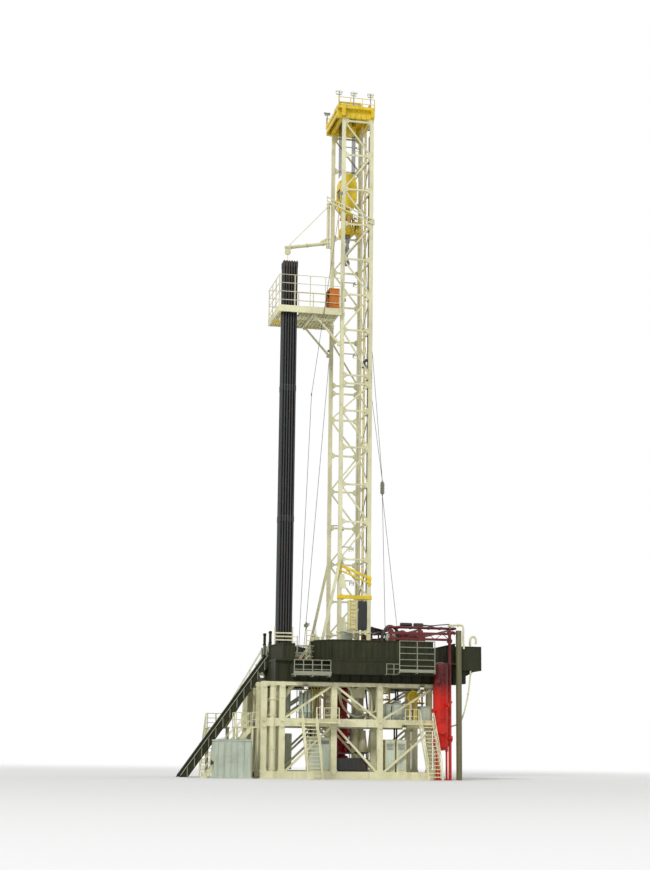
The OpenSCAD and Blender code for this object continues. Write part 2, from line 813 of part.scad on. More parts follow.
module board_rails() {
    color("gold") {
        for (y = [-board_half + 20, board_half - 20])
            handrail([board_x0 + 20, y, board_z], [board_x1 - 40, y, board_z], board_rail_h, 5, 4);
        translate([board_x0 + 20, 0, board_z])
            handrail([0, -board_half + 75, 0], [0, board_half - 75, 0], board_rail_h, 4, 4);
    }
}

brace_head_x = board_x0 + 1300;

// Each brace runs from the mast's leg up to a cross beam of the board
module board_braces() {
    wide = 80;
    drop = 1000;
    head_z = board_z - board_beam - seat;
    color("khaki")
        for (side = [near, far])
            translate([0, side * leg_y + 30, 0])
                rotate([90, 0, 0])
                    linear_extrude(60)
                        polygon([[brace_head_x, head_z], [brace_head_x + wide, head_z],
                            [board_x1, head_z - drop], [board_x1, head_z - drop - wide * 1.4]]);
}

module board_shelter() {
    color("orange")
        span([board_x1 - 420, board_x1 - 90], [-board_half + 60, -board_half + 700],
            [board_z, board_z + 850]);
}

module drill_pipe_stands() {
    color("darkgray")
        for (i = [0:5], k = [0:4])
            let (x = first_row_x - i * pipe_pitch, y = -board_half + 200 + k * pipe_pitch)
                translate([x, y, deck_z + mat_t]) {
                    cylinder(d = pipe_d, h = stand_len, $fn = 24);
                    for (z = [20, stand_len / 3, 2 * stand_len / 3])
                        translate([0, 0, z])
                            cylinder(d = pipe_d + 16, h = 180, $fn = 24);
                }
}

module floodlight_beam() {
    y = -leg_y - leg_w / 2 - 40 - seat;
    x0 = leg_front - 645;
    x1 = leg_back + 110;
    z = deck_z + 16680;
    drop = 760;
    slope = drop / (x1 - x0);
    color("ivory") {
        for (dz = [0, 160])
            bar([x0, y, z + dz], [x1, y, z - drop + dz], 40, 40);
        for (i = [0:4])
            let (x = x0 + 20 + i * (x1 - x0 - 50) / 4, low = z - (x - x0) * slope)
                span([x - 15, x + 15], [y - 15, y + 15], [low - 10, low + 170]);
        for (x = [leg_front, leg_back])
            let (low = z - (x - x0) * slope)
                span([x - 30, x + 30], [y - 40, y + 40], [low - 35, low + 195]);
    }
}

jib_x = leg_front - leg_w / 2 - 110;
jib_y = leg_y;
jib_z = deck_z + jib_h;
jib_foot = jib_z - 160;
jib_post_h = 1700;

module jib_boom() {
    tip = [jib_x - jib_len, jib_y, jib_z - 300];
    color("white") {
        translate([jib_x, jib_y, jib_foot])
            cylinder(d = 110, h = jib_post_h, $fn = 24);
        rod([jib_x, jib_y, jib_z], tip, jib_d, 12);
        rod([jib_x, jib_y, jib_z + 1450], tip + [60, 0, 40], 24, 6);
        translate(tip + [70, 0, -170])
            rotate([90, 0, 0])
                translate([0, 0, -30])
                    cylinder(d = 220, h = 60, $fn = 32);
        span([tip.x + 60, tip.x + 80], [jib_y - 10, jib_y + 10], [tip.z - 620, tip.z - 170]);
        translate([tip.x + 70, jib_y, tip.z - 720])
            cylinder(d = 90, h = 120, $fn = 24);
    }
}

module travelling_block() {
    color("gold")
        difference() {
            span([-block_t / 2, block_t / 2], [-block_w / 2, block_w / 2], [drive_top, block_top]);
            for (i = [-1:1])
                span([-block_t, block_t], [i * 180 - 50, i * 180 + 50], [drive_top + 500, block_top - 60]);
        }
}

module top_drive() {
    track_face = leg_back - leg_w / 2 - 150;
    color("gold") {
        span([-260, 260], [-330, 330], [hoist_z + 1100, drive_top]);
        span([-180, 180], [-430, 430], [hoist_z + 1350, drive_top - 150]);
        translate([0, 0, hoist_z + 500])
            cylinder(d = 220, h = 700, $fn = 32);
        for (y = [-200, 200])
            span([-35, 35], [y - 35, y + 35], [hoist_z, hoist_z + 1150]);
        span([-150, 150], [-260, 260], [hoist_z, hoist_z + 160]);
        // Arm and shoes that run on the guide track
        span([200, track_face - 40], [-120, 120], [hoist_z + 1200, hoist_z + 1700]);
        span([track_face - 70, track_face - seat], [-230, 230], [hoist_z + 1150, hoist_z + 1750]);
    }
}

line_x = sheave_d / 2 - line_d / 2;
line_top = sheave_z - sqrt(pow(sheave_d / 2, 2) - pow(line_x - line_d / 2, 2)) - seat;

module drilling_lines() {
    color("darkgray")
        for (i = [0:sheaves - 1], s = [-1, 1])
            translate([s * line_x, (i - (sheaves - 1) / 2) * sheave_pitch, block_top + seat])
                cylinder(d = line_d, h = line_top - block_top - seat, $fn = 8);
}

module drawworks() {
    z = deck_z;
    x0 = leg_back + 300;
    color("darkred") {
        span([x0, x0 + 1300], [-900, 900], [z, z + 120]);
        for (y = [-880, 780])
            span([x0 + 80, x0 + 1220], [y, y + 100], [z + 100, z + 850]);
        translate([x0 + 650, 0, z + 480])
            rotate([90, 0, 0])
                translate([0, 0, -800])
                    cylinder(d = drum_d, h = 1600, $fn = 48);
        span([x0 + 850, x0 + 1250], [-600, 600], [z + 100, z + 1000]);
    }
}

// Frame that carries the service pipes over the drawworks
module service_gantry() {
    x = [1300, 2350, floor_rear - 200];
    y = floor_narrow - 200;
    top = deck_z + 1100;
    color("indianred") {
        for (s = [near, far]) {
            for (px = x)
                span([px - 35, px + 35], [s * y - 35, s * y + 35], [deck_z, top]);
            for (z = [top - 260, top - 60])
                span([x[0] - 40, x[2] + 40], [s * y - 30, s * y + 30], [z - 80, z]);
        }
        for (px = x)
            span([px - 30, px + 30], [-y - 30, y + 30], [top + seat, top + 60]);
        for (s = [near, far], k = [0:2])
            translate([0, s * (y - k * 110), top + 95 + seat])
                rod([x[0] - 60, 0, 0], [floor_rear + 40, 0, 0], 70);
    }
}

module rear_house() {
    color("darkslategray") {
        span([floor_rear + seat, floor_rear + 860], [-floor_narrow, -600], [deck_z - 250, deck_z + 580]);
        span([floor_rear + seat, floor_rear + 350], [-floor_narrow + 100, -700],
            [deck_z - 700, deck_z - 240]);
    }
}

module gas_separator() {
    x = floor_step_rear + 300;
    y = -truss_out_y - 100 - seat - separator_d / 2;
    color("red") {
        translate([x, y, separator_foot])
            cylinder(d = separator_d, h = separator_len, $fn = 48);
        for (a = [0, 120, 240])
            translate([x + cos(a) * 200, y + sin(a) * 200, 0])
                cylinder(d = 70, h = separator_foot + 100, $fn = 16);
        translate([x + separator_d / 2 + 60, y, 0])
            cylinder(d = 110, h = deck_z + 930, $fn = 24);
        span([x, x + separator_d / 2 + 60], [y - 30, y + 30], [separator_foot + 300, separator_foot + 360]);
    }
}

module rear_post() {
    y = -floor_narrow - 130;
    color("darkseagreen") {
        translate([floor_rear + 30, y, 0])
            cylinder(d = 200, h = deck_z + 1100, $fn = 32);
        for (z = [girder_z + 20, girder_top - 20])
            span([floor_rear - 80, floor_rear], [y, -truss_out_y - 100 - seat], [z - 20, z + 20]);
    }
}

module blowout_preventer() {
    color("firebrick") {
        cylinder(d = preventer_d * 0.7, h = 2500, $fn = 32);
        for (z = [300, 700, 1150])
            translate([0, 0, z])
                cylinder(d = preventer_d, h = 80, $fn = 32);
        for (z = [420, 860])
            span([-preventer_d / 2, preventer_d / 2], [-500, 500], [z, z + 240]);
        translate([0, 0, 1300])
            cylinder(d = preventer_d * 1.15, h = 620, $fn = 32);
        translate([0, 0, 2100])
            cylinder(d = preventer_d * 0.95, h = 700, $fn = 32);
        // Bell nipple up to the rotary table
        translate([0, 0, 2790])
            difference() {
                cylinder(d = rotary_bore + 100, h = girder_top - 120 - seat - 2790, $fn = 48);
                translate([0, 0, 10])
                    cylinder(d = rotary_bore + 40, h = girder_top, $fn = 48);
            }
    }
}

module mud_vessel() {
    color("honeydew")
        translate([1665, -(truss_in_y + truss_out_y) / 2, mid_z]) {
            cylinder(d = 480, h = 620, $fn = 48);
            cylinder(d = 560, h = 30, $fn = 48);
        }
}

module floor_blower() {
    y = -truss_out_y + 330;
    color("khaki")
        translate([2130, y, mid_z]) {
            translate([0, 0, 900])
                rotate([90, 0, 0])
                    difference() {
                        cylinder(d = 420, h = 180, $fn = 48);
                        translate([0, 0, 60])
                            cylinder(d = 350, h = 200, $fn = 48);
                    }
            for (x = [-110, 110])
                span([x - 25, x + 25], [-120, -20], [0, 760]);
        }
}

// White cabinets between the trusses, against the outer skid beam
module control_cabinets() {
    y = [-truss_out_y + beam_t / 2 + seat, -truss_in_y - beam_t / 2 - 150];
    color("whitesmoke") {
        span([-1500, -770], y, [120, 1350]);
        for (x = [1130, 1530])
            span([x, x + 330], y, [120, 1300]);
    }
}

module trip_tank() {
    x1 = main_stair_x - 100;
    y1 = main_stair_y - stair_w / 2 - seat;
    color("honeydew")
        span([x1 - 1170, x1], [y1 - 800, y1], [0, 1250]);
}

lower_box(near);  // near_lower_box
lower_box(far);  // far_lower_box
upper_box(near);  // near_upper_box
upper_box(far);  // far_upper_box
base_spreaders();
mid_decks();
floor_girders(near);  // near_floor_girders
floor_girders(far);  // far_floor_girders
cross_girders();
drill_floor();
rotary_table();
setback_mats();
side_walls();
front_walls();
setback_walls();
rear_wall();
guard_rails();
lower_walkways();
pipe_ramp();
main_stair_lower();
main_stair_upper();
ramp_stair_lower();
ramp_stair_upper();
near_left_stair();
near_right_stair();
mast_shoes();
mast_near_lower();
mast_far_lower();
mast_back_lower();
mast_near_upper();
mast_far_upper();
mast_back_upper();
mast_struts();
guide_track();
standpipe();
crown_frame();
crown_sheaves();
crown_lamps();
racking_board();
racking_fingers();
board_rails();
board_braces();
board_shelter();
drill_pipe_stands();
floodlight_beam();
jib_boom();
travelling_block();
top_drive();
drilling_lines();
drawworks();
service_gantry();
rear_house();
gas_separator();
rear_post();
blowout_preventer();
mud_vessel();
floor_blower();
control_cabinets();
trip_tank();
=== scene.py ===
# %% [markdown]
# # A land drilling rig
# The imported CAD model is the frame: boxes under a drill floor, a lattice mast, a racking board, a hoist
# and the machinery. It stays as it is. This lesson lights it, paints it, and adds the parts that are too
# fine for the frame, such as corrugated walls, bolted plates, gratings, pipes and lamps.
# All lengths are metres of the model, which is half the size of the real rig.

# %% Load the frame
import json
import math

import bmesh
import bpy
from mathutils import Matrix, Vector


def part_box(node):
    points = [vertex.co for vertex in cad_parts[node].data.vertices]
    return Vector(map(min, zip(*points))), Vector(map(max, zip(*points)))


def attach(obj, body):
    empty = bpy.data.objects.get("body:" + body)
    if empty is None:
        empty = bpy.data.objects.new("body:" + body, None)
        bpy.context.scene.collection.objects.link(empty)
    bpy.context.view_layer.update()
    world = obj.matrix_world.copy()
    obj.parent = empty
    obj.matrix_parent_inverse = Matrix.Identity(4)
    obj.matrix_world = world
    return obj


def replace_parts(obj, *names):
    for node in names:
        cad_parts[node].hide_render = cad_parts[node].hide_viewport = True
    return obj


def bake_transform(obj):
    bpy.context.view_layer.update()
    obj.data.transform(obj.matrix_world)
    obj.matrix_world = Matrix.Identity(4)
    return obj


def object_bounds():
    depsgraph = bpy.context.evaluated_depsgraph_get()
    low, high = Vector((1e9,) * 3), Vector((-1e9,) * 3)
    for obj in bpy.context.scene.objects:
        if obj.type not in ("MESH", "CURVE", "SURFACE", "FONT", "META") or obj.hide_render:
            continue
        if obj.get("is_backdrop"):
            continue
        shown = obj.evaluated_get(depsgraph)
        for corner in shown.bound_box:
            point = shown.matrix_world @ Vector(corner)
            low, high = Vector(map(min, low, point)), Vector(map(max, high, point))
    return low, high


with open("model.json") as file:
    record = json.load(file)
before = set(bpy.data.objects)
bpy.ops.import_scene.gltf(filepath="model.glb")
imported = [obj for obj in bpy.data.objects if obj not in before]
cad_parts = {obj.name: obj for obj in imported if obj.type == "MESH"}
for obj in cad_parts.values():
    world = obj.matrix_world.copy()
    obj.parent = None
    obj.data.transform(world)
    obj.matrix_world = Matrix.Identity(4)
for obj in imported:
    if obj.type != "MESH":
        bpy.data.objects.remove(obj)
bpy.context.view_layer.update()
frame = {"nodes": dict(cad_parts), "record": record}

# %% [markdown]
# ## The camera
# The picture was taken from the ground, a long way off, with a longish lens tilted up. The panels of
# the mast shrink upwards by a known share, and that gives the lens and the tilt. The camera is built
# from its own axes, because a tilt and a roll are easier to read that way than as three angles.

# %% Make the camera
CAMERA_PLACE = Vector((-12.59, -55.39, 0.8))
HEADING = math.radians(12.1)
TILT = math.radians(11.3)
ROLL = math.radians(0.7)
LENS, SENSOR = 66.2, 36.0


def make_camera():
    """A camera that looks along the heading, tilted up and rolled a little."""
    data = bpy.data.cameras.new("camera")
    data.lens, data.sensor_width = LENS, SENSOR
    data.clip_start, data.clip_end = 0.5, 2000.0
    look = Vector((math.sin(HEADING) * math.cos(TILT), math.cos(HEADING) * math.cos(TILT), math.sin(TILT)))
    camera = bpy.data.objects.new("camera", data)
    turn = look.to_track_quat("-Z", "Y").to_matrix().to_4x4() @ Matrix.Rotation(ROLL, 4, "Z")
    camera.matrix_world = Matrix.Translation(CAMERA_PLACE) @ turn
    bpy.context.scene.collection.objects.link(camera)
    return camera


bpy.context.scene.camera = make_camera()
bpy.context.scene.view_settings.view_transform = "Standard"
print("camera at", tuple(CAMERA_PLACE))

# %% [markdown]
# ## Helpers for nodes
# A shader is a tree of nodes. With these helpers each node takes one line: its kind, what feeds its
# sockets, and its settings.

# %% Helpers for nodes
def add_node(tree, kind, links=None, **settings):
    """Adds a shader node. Links maps a socket to a value or to the output that feeds it."""
    node = tree.nodes.new("ShaderNode" + kind)
    for key, value in settings.items():
        setattr(node, key, value)
    for socket, source in (links or {}).items():
        if isinstance(source, bpy.types.NodeSocket):
            tree.links.new(source, node.inputs[socket])
        else:
            node.inputs[socket].default_value = source
    return node


def new_group(name, inputs, outputs):
    """A node group with its sockets, and its input and output nodes."""
    group = bpy.data.node_groups.new(name, "ShaderNodeTree")
    for socket, kind, value in inputs:
        made = group.interface.new_socket(name=socket, in_out="INPUT", socket_type="NodeSocket" + kind)
        made.default_value = value
    for socket, kind in outputs:
        group.interface.new_socket(name=socket, in_out="OUTPUT", socket_type="NodeSocket" + kind)
    return group, group.nodes.new("NodeGroupInput").outputs, group.nodes.new("NodeGroupOutput").inputs


def noise(tree, vector, scale, detail=4.0, rough=0.55, stretch=(1.0, 1.0, 1.0)):
    """Noise in space, stretched along the axes."""
    moved = add_node(tree, "Mapping", {"Vector": vector, "Scale": stretch})
    return add_node(tree, "TexNoise", {"Vector": moved.outputs[0], "Scale": scale, "Detail": detail,
                                       "Roughness": rough}).outputs["Fac"]


def step_up(tree, value, low, high, top=1.0):
    """Rises smoothly from 0 at low to top at high."""
    return add_node(tree, "MapRange", {"Value": value, "From Min": low, "From Max": high, "To Max": top},
                    interpolation_type="SMOOTHSTEP").outputs["Result"]


def maths(tree, operation, a, b):
    return add_node(tree, "Math", {0: a, 1: b}, operation=operation).outputs[0]


def blend_colours(tree, share, first, second, kind="MIX"):
    node = add_node(tree, "Mix", {0: share, 6: first, 7: second}, data_type="RGBA", blend_type=kind)
    return node.outputs[2]

# %% [markdown]
# ## Floor and light
# The floor is a wide pale disc that fades to white before it ends, so no horizon shows. The world is
# white to the camera and to mirrors, and a plain grey to everything that it lights. A broad sun from
# the camera's left gives the shapes some form.

# %% Light the studio
def make_sun(name, strength, angle, rise, heading):
    """A soft sun. Rise and heading say in degrees where it stands."""
    data = bpy.data.lights.new(name, "SUN")
    data.energy, data.angle = strength, math.radians(angle)
    sun = bpy.data.objects.new(name, data)
    up, round_ = math.radians(rise), math.radians(heading)
    place = Vector((math.cos(up) * math.cos(round_), math.cos(up) * math.sin(round_), math.sin(up)))
    sun.matrix_world = place.to_track_quat("Z", "Y").to_matrix().to_4x4()
    bpy.context.scene.collection.objects.link(sun)


make_sun("key sun", strength=1.7, angle=14, rise=38, heading=-125)
make_sun("fill sun", strength=0.45, angle=40, rise=25, heading=20)


def seen_directly(tree):
    """A value that is 1 for rays that come from the camera, a mirror or glass, and 0 for light."""
    path = add_node(tree, "LightPath").outputs
    seen = maths(tree, "MAXIMUM", path["Is Camera Ray"], path["Is Glossy Ray"])
    return maths(tree, "MAXIMUM", seen, path["Is Transmission Ray"])


world = bpy.data.worlds.new("studio")
world.use_nodes = True
bpy.context.scene.world = world
tree = world.node_tree
grey = add_node(tree, "Background", {"Color": (0.93, 0.96, 1.0, 1.0), "Strength": 0.62})
white = add_node(tree, "Background", {"Color": (1.0, 1.0, 1.0, 1.0)})
mix = add_node(tree, "MixShader", {0: seen_directly(tree), 1: grey.outputs[0], 2: white.outputs[0]})
tree.links.new(mix.outputs[0], tree.nodes["World Output"].inputs[0])

# %% Lay the floor
FLOOR_RADIUS, FADE_START, FADE_END = 260.0, 14.0, 60.0


def make_floor():
    """A disc on the ground. Its paint fades to white with the distance from the rig."""
    bm = bmesh.new()
    bmesh.ops.create_circle(bm, cap_ends=True, segments=96, radius=FLOOR_RADIUS)
    mesh = bpy.data.meshes.new("floor")
    bm.to_mesh(mesh)
    bm.free()
    floor = bpy.data.objects.new("floor", mesh)
    bpy.context.scene.collection.objects.link(floor)
    material = bpy.data.materials.new("floor")
    material.use_nodes = True
    tree = material.node_tree
    paint = tree.nodes["Principled BSDF"]
    paint.inputs["Base Color"].default_value = (0.74, 0.73, 0.7, 1.0)
    paint.inputs["Roughness"].default_value = 0.9
    place = add_node(tree, "TexCoord").outputs["Object"]
    distance = add_node(tree, "VectorMath", {0: place}, operation="LENGTH").outputs["Value"]
    shown = maths(tree, "MULTIPLY", step_up(tree, distance, FADE_START, FADE_END), seen_directly(tree))
    glow = add_node(tree, "Emission").outputs[0]
    mix = add_node(tree, "MixShader", {0: shown, 1: paint.outputs[0], 2: glow})
    tree.links.new(mix.outputs[0], tree.nodes["Material Output"].inputs["Surface"])
    mesh.materials.append(material)
    floor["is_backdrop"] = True
    print("floor radius", FLOOR_RADIUS)


make_floor()

# %% [markdown]
# ## Shader groups
# Most of the rig is painted steel that stands in dust and sun. One node group gives all of it the same
# kinds of wear: a slow change of tone, dirt that runs down, chips of rust and fine grain. Each paint
# then has its own colours and amounts. A second group draws the raised lozenges of chequer plate.

# %% The wear group
def make_wear_group():
    group, given, out = new_group(
        "wear",
        [("Vector", "Vector", (0, 0, 0)), ("Paint", "Color", (0.8, 0.8, 0.8, 1)),
         ("Dirt", "Color", (0.2, 0.16, 0.11, 1)), ("Rust", "Color", (0.16, 0.06, 0.02, 1)),
         ("Dirt Amount", "Float", 0.5), ("Rust Amount", "Float", 0.3), ("Shine", "Float", 0.4)],
        [("Color", "Color"), ("Roughness", "Float"), ("Height", "Float")])
    place = given["Vector"]
    tone = noise(group, place, 0.7, 3.0)
    shade = add_node(group, "MapRange", {"Value": tone, "From Min": 0.3, "From Max": 0.7,
                                         "To Min": 0.84, "To Max": 1.08}).outputs["Result"]
    grey = add_node(group, "CombineColor", {0: shade, 1: shade, 2: shade}).outputs[0]
    paint = blend_colours(group, 1.0, given["Paint"], grey, "MULTIPLY")
    patches = step_up(group, noise(group, place, 2.1, 6.0), 0.45, 0.75)
    runs = step_up(group, noise(group, place, 5.0, 5.0, 0.6, (1.0, 1.0, 0.1)), 0.48, 0.7)
    specks = step_up(group, noise(group, place, 26.0, 3.0), 0.5, 0.75, 0.6)
    dirty = maths(group, "MAXIMUM", maths(group, "MAXIMUM", patches, runs), specks)
    dirty = maths(group, "MULTIPLY", dirty, given["Dirt Amount"])
    chips = step_up(group, noise(group, place, 9.0, 8.0, 0.65), 0.6, 0.68)
    tears = step_up(group, noise(group, place, 7.0, 6.0, 0.6, (1.0, 1.0, 0.07)), 0.6, 0.72, 0.7)
    rusty = maths(group, "MULTIPLY", maths(group, "MAXIMUM", chips, tears), given["Rust Amount"])
    warm = blend_colours(group, noise(group, place, 30.0, 4.0), given["Rust"], (0.3, 0.11, 0.03, 1))
    soiled = blend_colours(group, dirty, paint, given["Dirt"])
    group.links.new(blend_colours(group, rusty, soiled, warm), out["Color"])
    dull = maths(group, "ADD", maths(group, "MULTIPLY", dirty, 0.35), maths(group, "MULTIPLY", rusty, 0.4))
    group.links.new(add_node(group, "Math", {0: given["Shine"], 1: dull}, operation="ADD",
                             use_clamp=True).outputs[0], out["Roughness"])
    grain = maths(group, "MULTIPLY", noise(group, place, 70.0, 2.0), 0.3)
    group.links.new(maths(group, "SUBTRACT", grain, maths(group, "MULTIPLY", rusty, 0.8)), out["Height"])
    return group


wear = make_wear_group()
print("wear group", len(wear.nodes), "nodes")

# %% The chequer plate group
def make_chequer_group():
    """Raised lozenges that lean left and right in turn. Two lattices, each turned by 45 degrees."""
    group, given, out = new_group("chequer plate",
                                  [("Vector", "Vector", (0, 0, 0)), ("Scale", "Float", 20.0)],
                                  [("Height", "Float")])
    heights = []
    for lean, shift in ((45, 0.0), (-45, 0.5)):
        scaled = add_node(group, "VectorMath", {0: given["Vector"], "Scale": given["Scale"]},
                          operation="SCALE")
        moved = add_node(group, "VectorMath", {0: scaled.outputs[0], 1: (shift, shift, 0.0)}, operation="ADD")
        part = add_node(group, "VectorMath", {0: moved.outputs[0]}, operation="FRACTION")
        centred = add_node(group, "VectorMath", {0: part.outputs[0], 1: (0.5, 0.5, 0.0)},
                           operation="SUBTRACT")
        turned = add_node(group, "VectorRotate", {"Vector": centred.outputs[0], "Angle": math.radians(lean)},
                          rotation_type="Z_AXIS")
        split = add_node(group, "SeparateXYZ", {0: turned.outputs[0]})
        along = maths(group, "MULTIPLY", add_node(group, "Math", {0: split.outputs[0]},
                                                  operation="ABSOLUTE").outputs[0], 2.4)
        across = maths(group, "MULTIPLY", add_node(group, "Math", {0: split.outputs[1]},
                                                   operation="ABSOLUTE").outputs[0], 9.0)
        far_off = maths(group, "ADD", along, across)
        heights.append(add_node(group, "MapRange", {"Value": far_off, "From Min": 0.75, "From Max": 1.0,
                                                    "To Min": 1.0, "To Max": 0.0}).outputs["Result"])
    group.links.new(maths(group, "MAXIMUM", heights[0], heights[1]), out["Height"])
    return group


chequer = make_chequer_group()
print("chequer group", len(chequer.nodes), "nodes")

# %% [markdown]
# ## Paints and metals
# A colour is written as it shows on a screen and turned into the linear values that Blender wants.
# Each paint is a Principled shader of its own, fed by the wear group. Steel that is walked on gets the
# lozenges as bump, and lamps glow.

# %% Helpers for materials
def screen(red, green, blue):
    """A colour from 0 to 255 as a screen shows it, in linear light."""
    def linear(value):
        share = value / 255.0
        return share / 12.92 if share <= 0.04045 else ((share + 0.055) / 1.055) ** 2.4
    return (linear(red), linear(green), linear(blue), 1.0)


DUST = screen(132, 118, 92)
GREASE = screen(38, 34, 28)


def worn(name, paint, shine=0.42, dirt=DUST, dirt_amount=0.45, rust_amount=0.35, metallic=0.0,
         bump=0.004, lozenges=0.0, painted_shade_above=None, gloss=0.5):
    """A worn surface. Lozenges is how many raised marks of chequer plate lie on a metre, or none.
    Painted shade above is a height, and the darker colour that is painted above it as shade.
    Less gloss keeps a dark or deep colour deep."""
    material = bpy.data.materials.new(name)
    material.use_nodes = True
    tree = material.node_tree
    shader = tree.nodes["Principled BSDF"]
    shader.inputs["Metallic"].default_value = metallic
    shader.inputs["Specular IOR Level"].default_value = gloss
    place = add_node(tree, "TexCoord").outputs["Object"]
    group = tree.nodes.new("ShaderNodeGroup")
    group.node_tree = wear
    tree.links.new(place, group.inputs["Vector"])
    for socket, value in (("Paint", paint), ("Dirt", dirt), ("Dirt Amount", dirt_amount),
                          ("Rust Amount", rust_amount), ("Shine", shine)):
        group.inputs[socket].default_value = value
    # Above the height the paint turns to the darker colour given: painted shade, not a second paint.
    if painted_shade_above:
        level = add_node(tree, "SeparateXYZ", {0: place}).outputs[2]
        share = step_up(tree, level, painted_shade_above[0] - 0.4, painted_shade_above[0] + 0.4)
        tree.links.new(blend_colours(tree, share, paint, painted_shade_above[1]), group.inputs["Paint"])
    colour, height = group.outputs["Color"], group.outputs["Height"]
    if lozenges:
        plate = tree.nodes.new("ShaderNodeGroup")
        plate.node_tree = chequer
        plate.inputs["Scale"].default_value = lozenges
        tree.links.new(place, plate.inputs["Vector"])
        height = maths(tree, "ADD", height, plate.outputs["Height"])
        colour = blend_colours(tree, maths(tree, "MULTIPLY", plate.outputs["Height"], 0.35), colour,
                               screen(150, 148, 140))
    tree.links.new(colour, shader.inputs["Base Color"])
    tree.links.new(group.outputs["Roughness"], shader.inputs["Roughness"])
    relief = add_node(tree, "Bump", {"Height": height, "Distance": bump, "Strength": 0.7})
    tree.links.new(relief.outputs[0], shader.inputs["Normal"])
    return material

# %% The paints
paints = {
    "cream_paint": worn("cream paint", screen(224, 221, 180), dirt_amount=0.32, rust_amount=0.3),
    "yellow_paint": worn("yellow paint", screen(236, 205, 40), dirt=GREASE, dirt_amount=0.3),
    "olive_paint": worn("dark olive paint", screen(36, 39, 17), 0.6, dirt=screen(74, 74, 44),
                        dirt_amount=0.22, rust_amount=0.2, gloss=0.3),
    "grey_green_paint": worn("grey green paint", screen(146, 150, 130), dirt_amount=0.4),
    "red_paint": worn("red paint", screen(196, 24, 12), 0.36, dirt_amount=0.2, rust_amount=0.2, gloss=0.3),
    "maroon_paint": worn("maroon paint", screen(112, 28, 28), 0.36, dirt=GREASE, dirt_amount=0.4),
    "deck_steel": worn("chequer plate", screen(96, 96, 90), 0.45, dirt_amount=0.5, rust_amount=0.7,
                       metallic=0.35, bump=0.006, lozenges=14.0),
    "bare_steel": worn("bare steel", screen(138, 138, 136), 0.34, dirt=GREASE, dirt_amount=0.5,
                       metallic=0.85),
    "pipe_steel": worn("pipe steel", screen(54, 58, 60), 0.46, dirt=screen(80, 62, 46), dirt_amount=0.4,
                       rust_amount=0.6, metallic=0.4),
    "wire_rope": worn("wire rope", screen(98, 96, 92), 0.4, dirt=GREASE, dirt_amount=0.6, metallic=0.7),
    "timber": worn("timber", screen(122, 92, 62), 0.8, dirt=GREASE, dirt_amount=0.6, rust_amount=0.0),
    "pale_tank_paint": worn("pale tank paint", screen(196, 206, 188), dirt_amount=0.35),
}
orange_paint = worn("orange paint", screen(206, 122, 30), dirt=GREASE, dirt_amount=0.35)
rubber = worn("black rubber", screen(34, 34, 35), 0.55, dirt_amount=0.35, rust_amount=0.0)

# %% The lamp glass
def make_lamp_glass():
    """The front of a lamp: small bright cells in a frame, lit from inside."""
    material = bpy.data.materials.new("lamp glass")
    material.use_nodes = True
    tree = material.node_tree
    shader = tree.nodes["Principled BSDF"]
    shader.inputs["Emission Strength"].default_value = 1.0
    place = add_node(tree, "TexCoord").outputs["Object"]
    cells = add_node(tree, "TexVoronoi", {"Vector": place, "Scale": 30.0}, distance="CHEBYCHEV")
    spot = step_up(tree, cells.outputs["Distance"], 0.42, 0.2)
    tree.links.new(blend_colours(tree, spot, screen(214, 210, 196), screen(255, 250, 232)),
                   shader.inputs["Base Color"])
    tree.links.new(blend_colours(tree, spot, screen(120, 116, 100), screen(255, 248, 225)),
                   shader.inputs["Emission Color"])
    shader.inputs["Roughness"].default_value = 0.25
    return material


paints["lamp_glass"] = make_lamp_glass()
print("materials", len(bpy.data.materials))

# %% [markdown]
# ## Paint the frame
# The record names a slot for every node of the frame, so one loop gives each its material.

# %% Paint every node
for part in frame["record"]["subparts"]:
    mesh = frame["nodes"][part["node"]].data
    mesh.materials.clear()
    mesh.materials.append(paints[part["material_slot"]])
frame["nodes"]["rear_post"].data.materials[0] = worn("post paint", screen(96, 95, 62), dirt_amount=0.3)

# %% [markdown]
# ## Making pieces
# Each new piece is built in one bmesh from a few operators: boxes, bars, rods, turned profiles, pipes
# that are extruded ring by ring, and sheets that are folded. A piece rides on one body of the frame.

# %% Helpers for shapes
def add_cube(bm, place, size, bevel=0.0):
    """A cube that is stretched to a size at a place, which is a matrix. Its edges are bevelled if asked."""
    made = bmesh.ops.create_cube(bm, size=1.0, matrix=place @ Matrix.Diagonal((*size, 1.0)))
    if bevel:
        edges = list({edge for vert in made["verts"] for edge in vert.link_edges})
        bmesh.ops.bevel(bm, geom=edges, offset=bevel, segments=1, profile=0.5, affect="EDGES", material=-1)


def add_box(bm, low, high, bevel=0.0):
    """A box between two opposite corners."""
    low, high = Vector(low), Vector(high)
    add_cube(bm, Matrix.Translation((low + high) / 2), [abs(value) for value in high - low], bevel)


def add_post(bm, place, half, low, high, bevel=0.0):
    """An upright box around a place in plan. Half its width is one number, or two for X and Y."""
    (x, y), (a, b) = place, half if isinstance(half, tuple) else (half, half)
    add_box(bm, (x - a, y - b, low), (x + a, y + b, high), bevel)


def along(p, q):
    """The place and turn of a shape whose Z axis runs from p to q, and its length."""
    p, q = Vector(p), Vector(q)
    turn = (q - p).to_track_quat("Z", "Y").to_matrix().to_4x4()
    return Matrix.Translation((p + q) / 2) @ turn, (q - p).length


def add_rod(bm, p, q, radius, sides=8):
    """A closed rod from p to q."""
    place, length = along(p, q)
    bmesh.ops.create_cone(bm, cap_ends=True, segments=sides, radius1=radius, radius2=radius, depth=length,
                          matrix=place)


def add_bar(bm, p, q, wide, deep):
    """A square bar from p to q."""
    place, length = along(p, q)
    add_cube(bm, place, (wide, deep, length))


def add_disc(bm, centre, axis, radius, thick, sides=12):
    """A flat disc, gusset or bolt head whose middle lies on the centre."""
    half = Vector(axis).normalized() * thick / 2
    add_rod(bm, Vector(centre) - half, Vector(centre) + half, radius, sides)

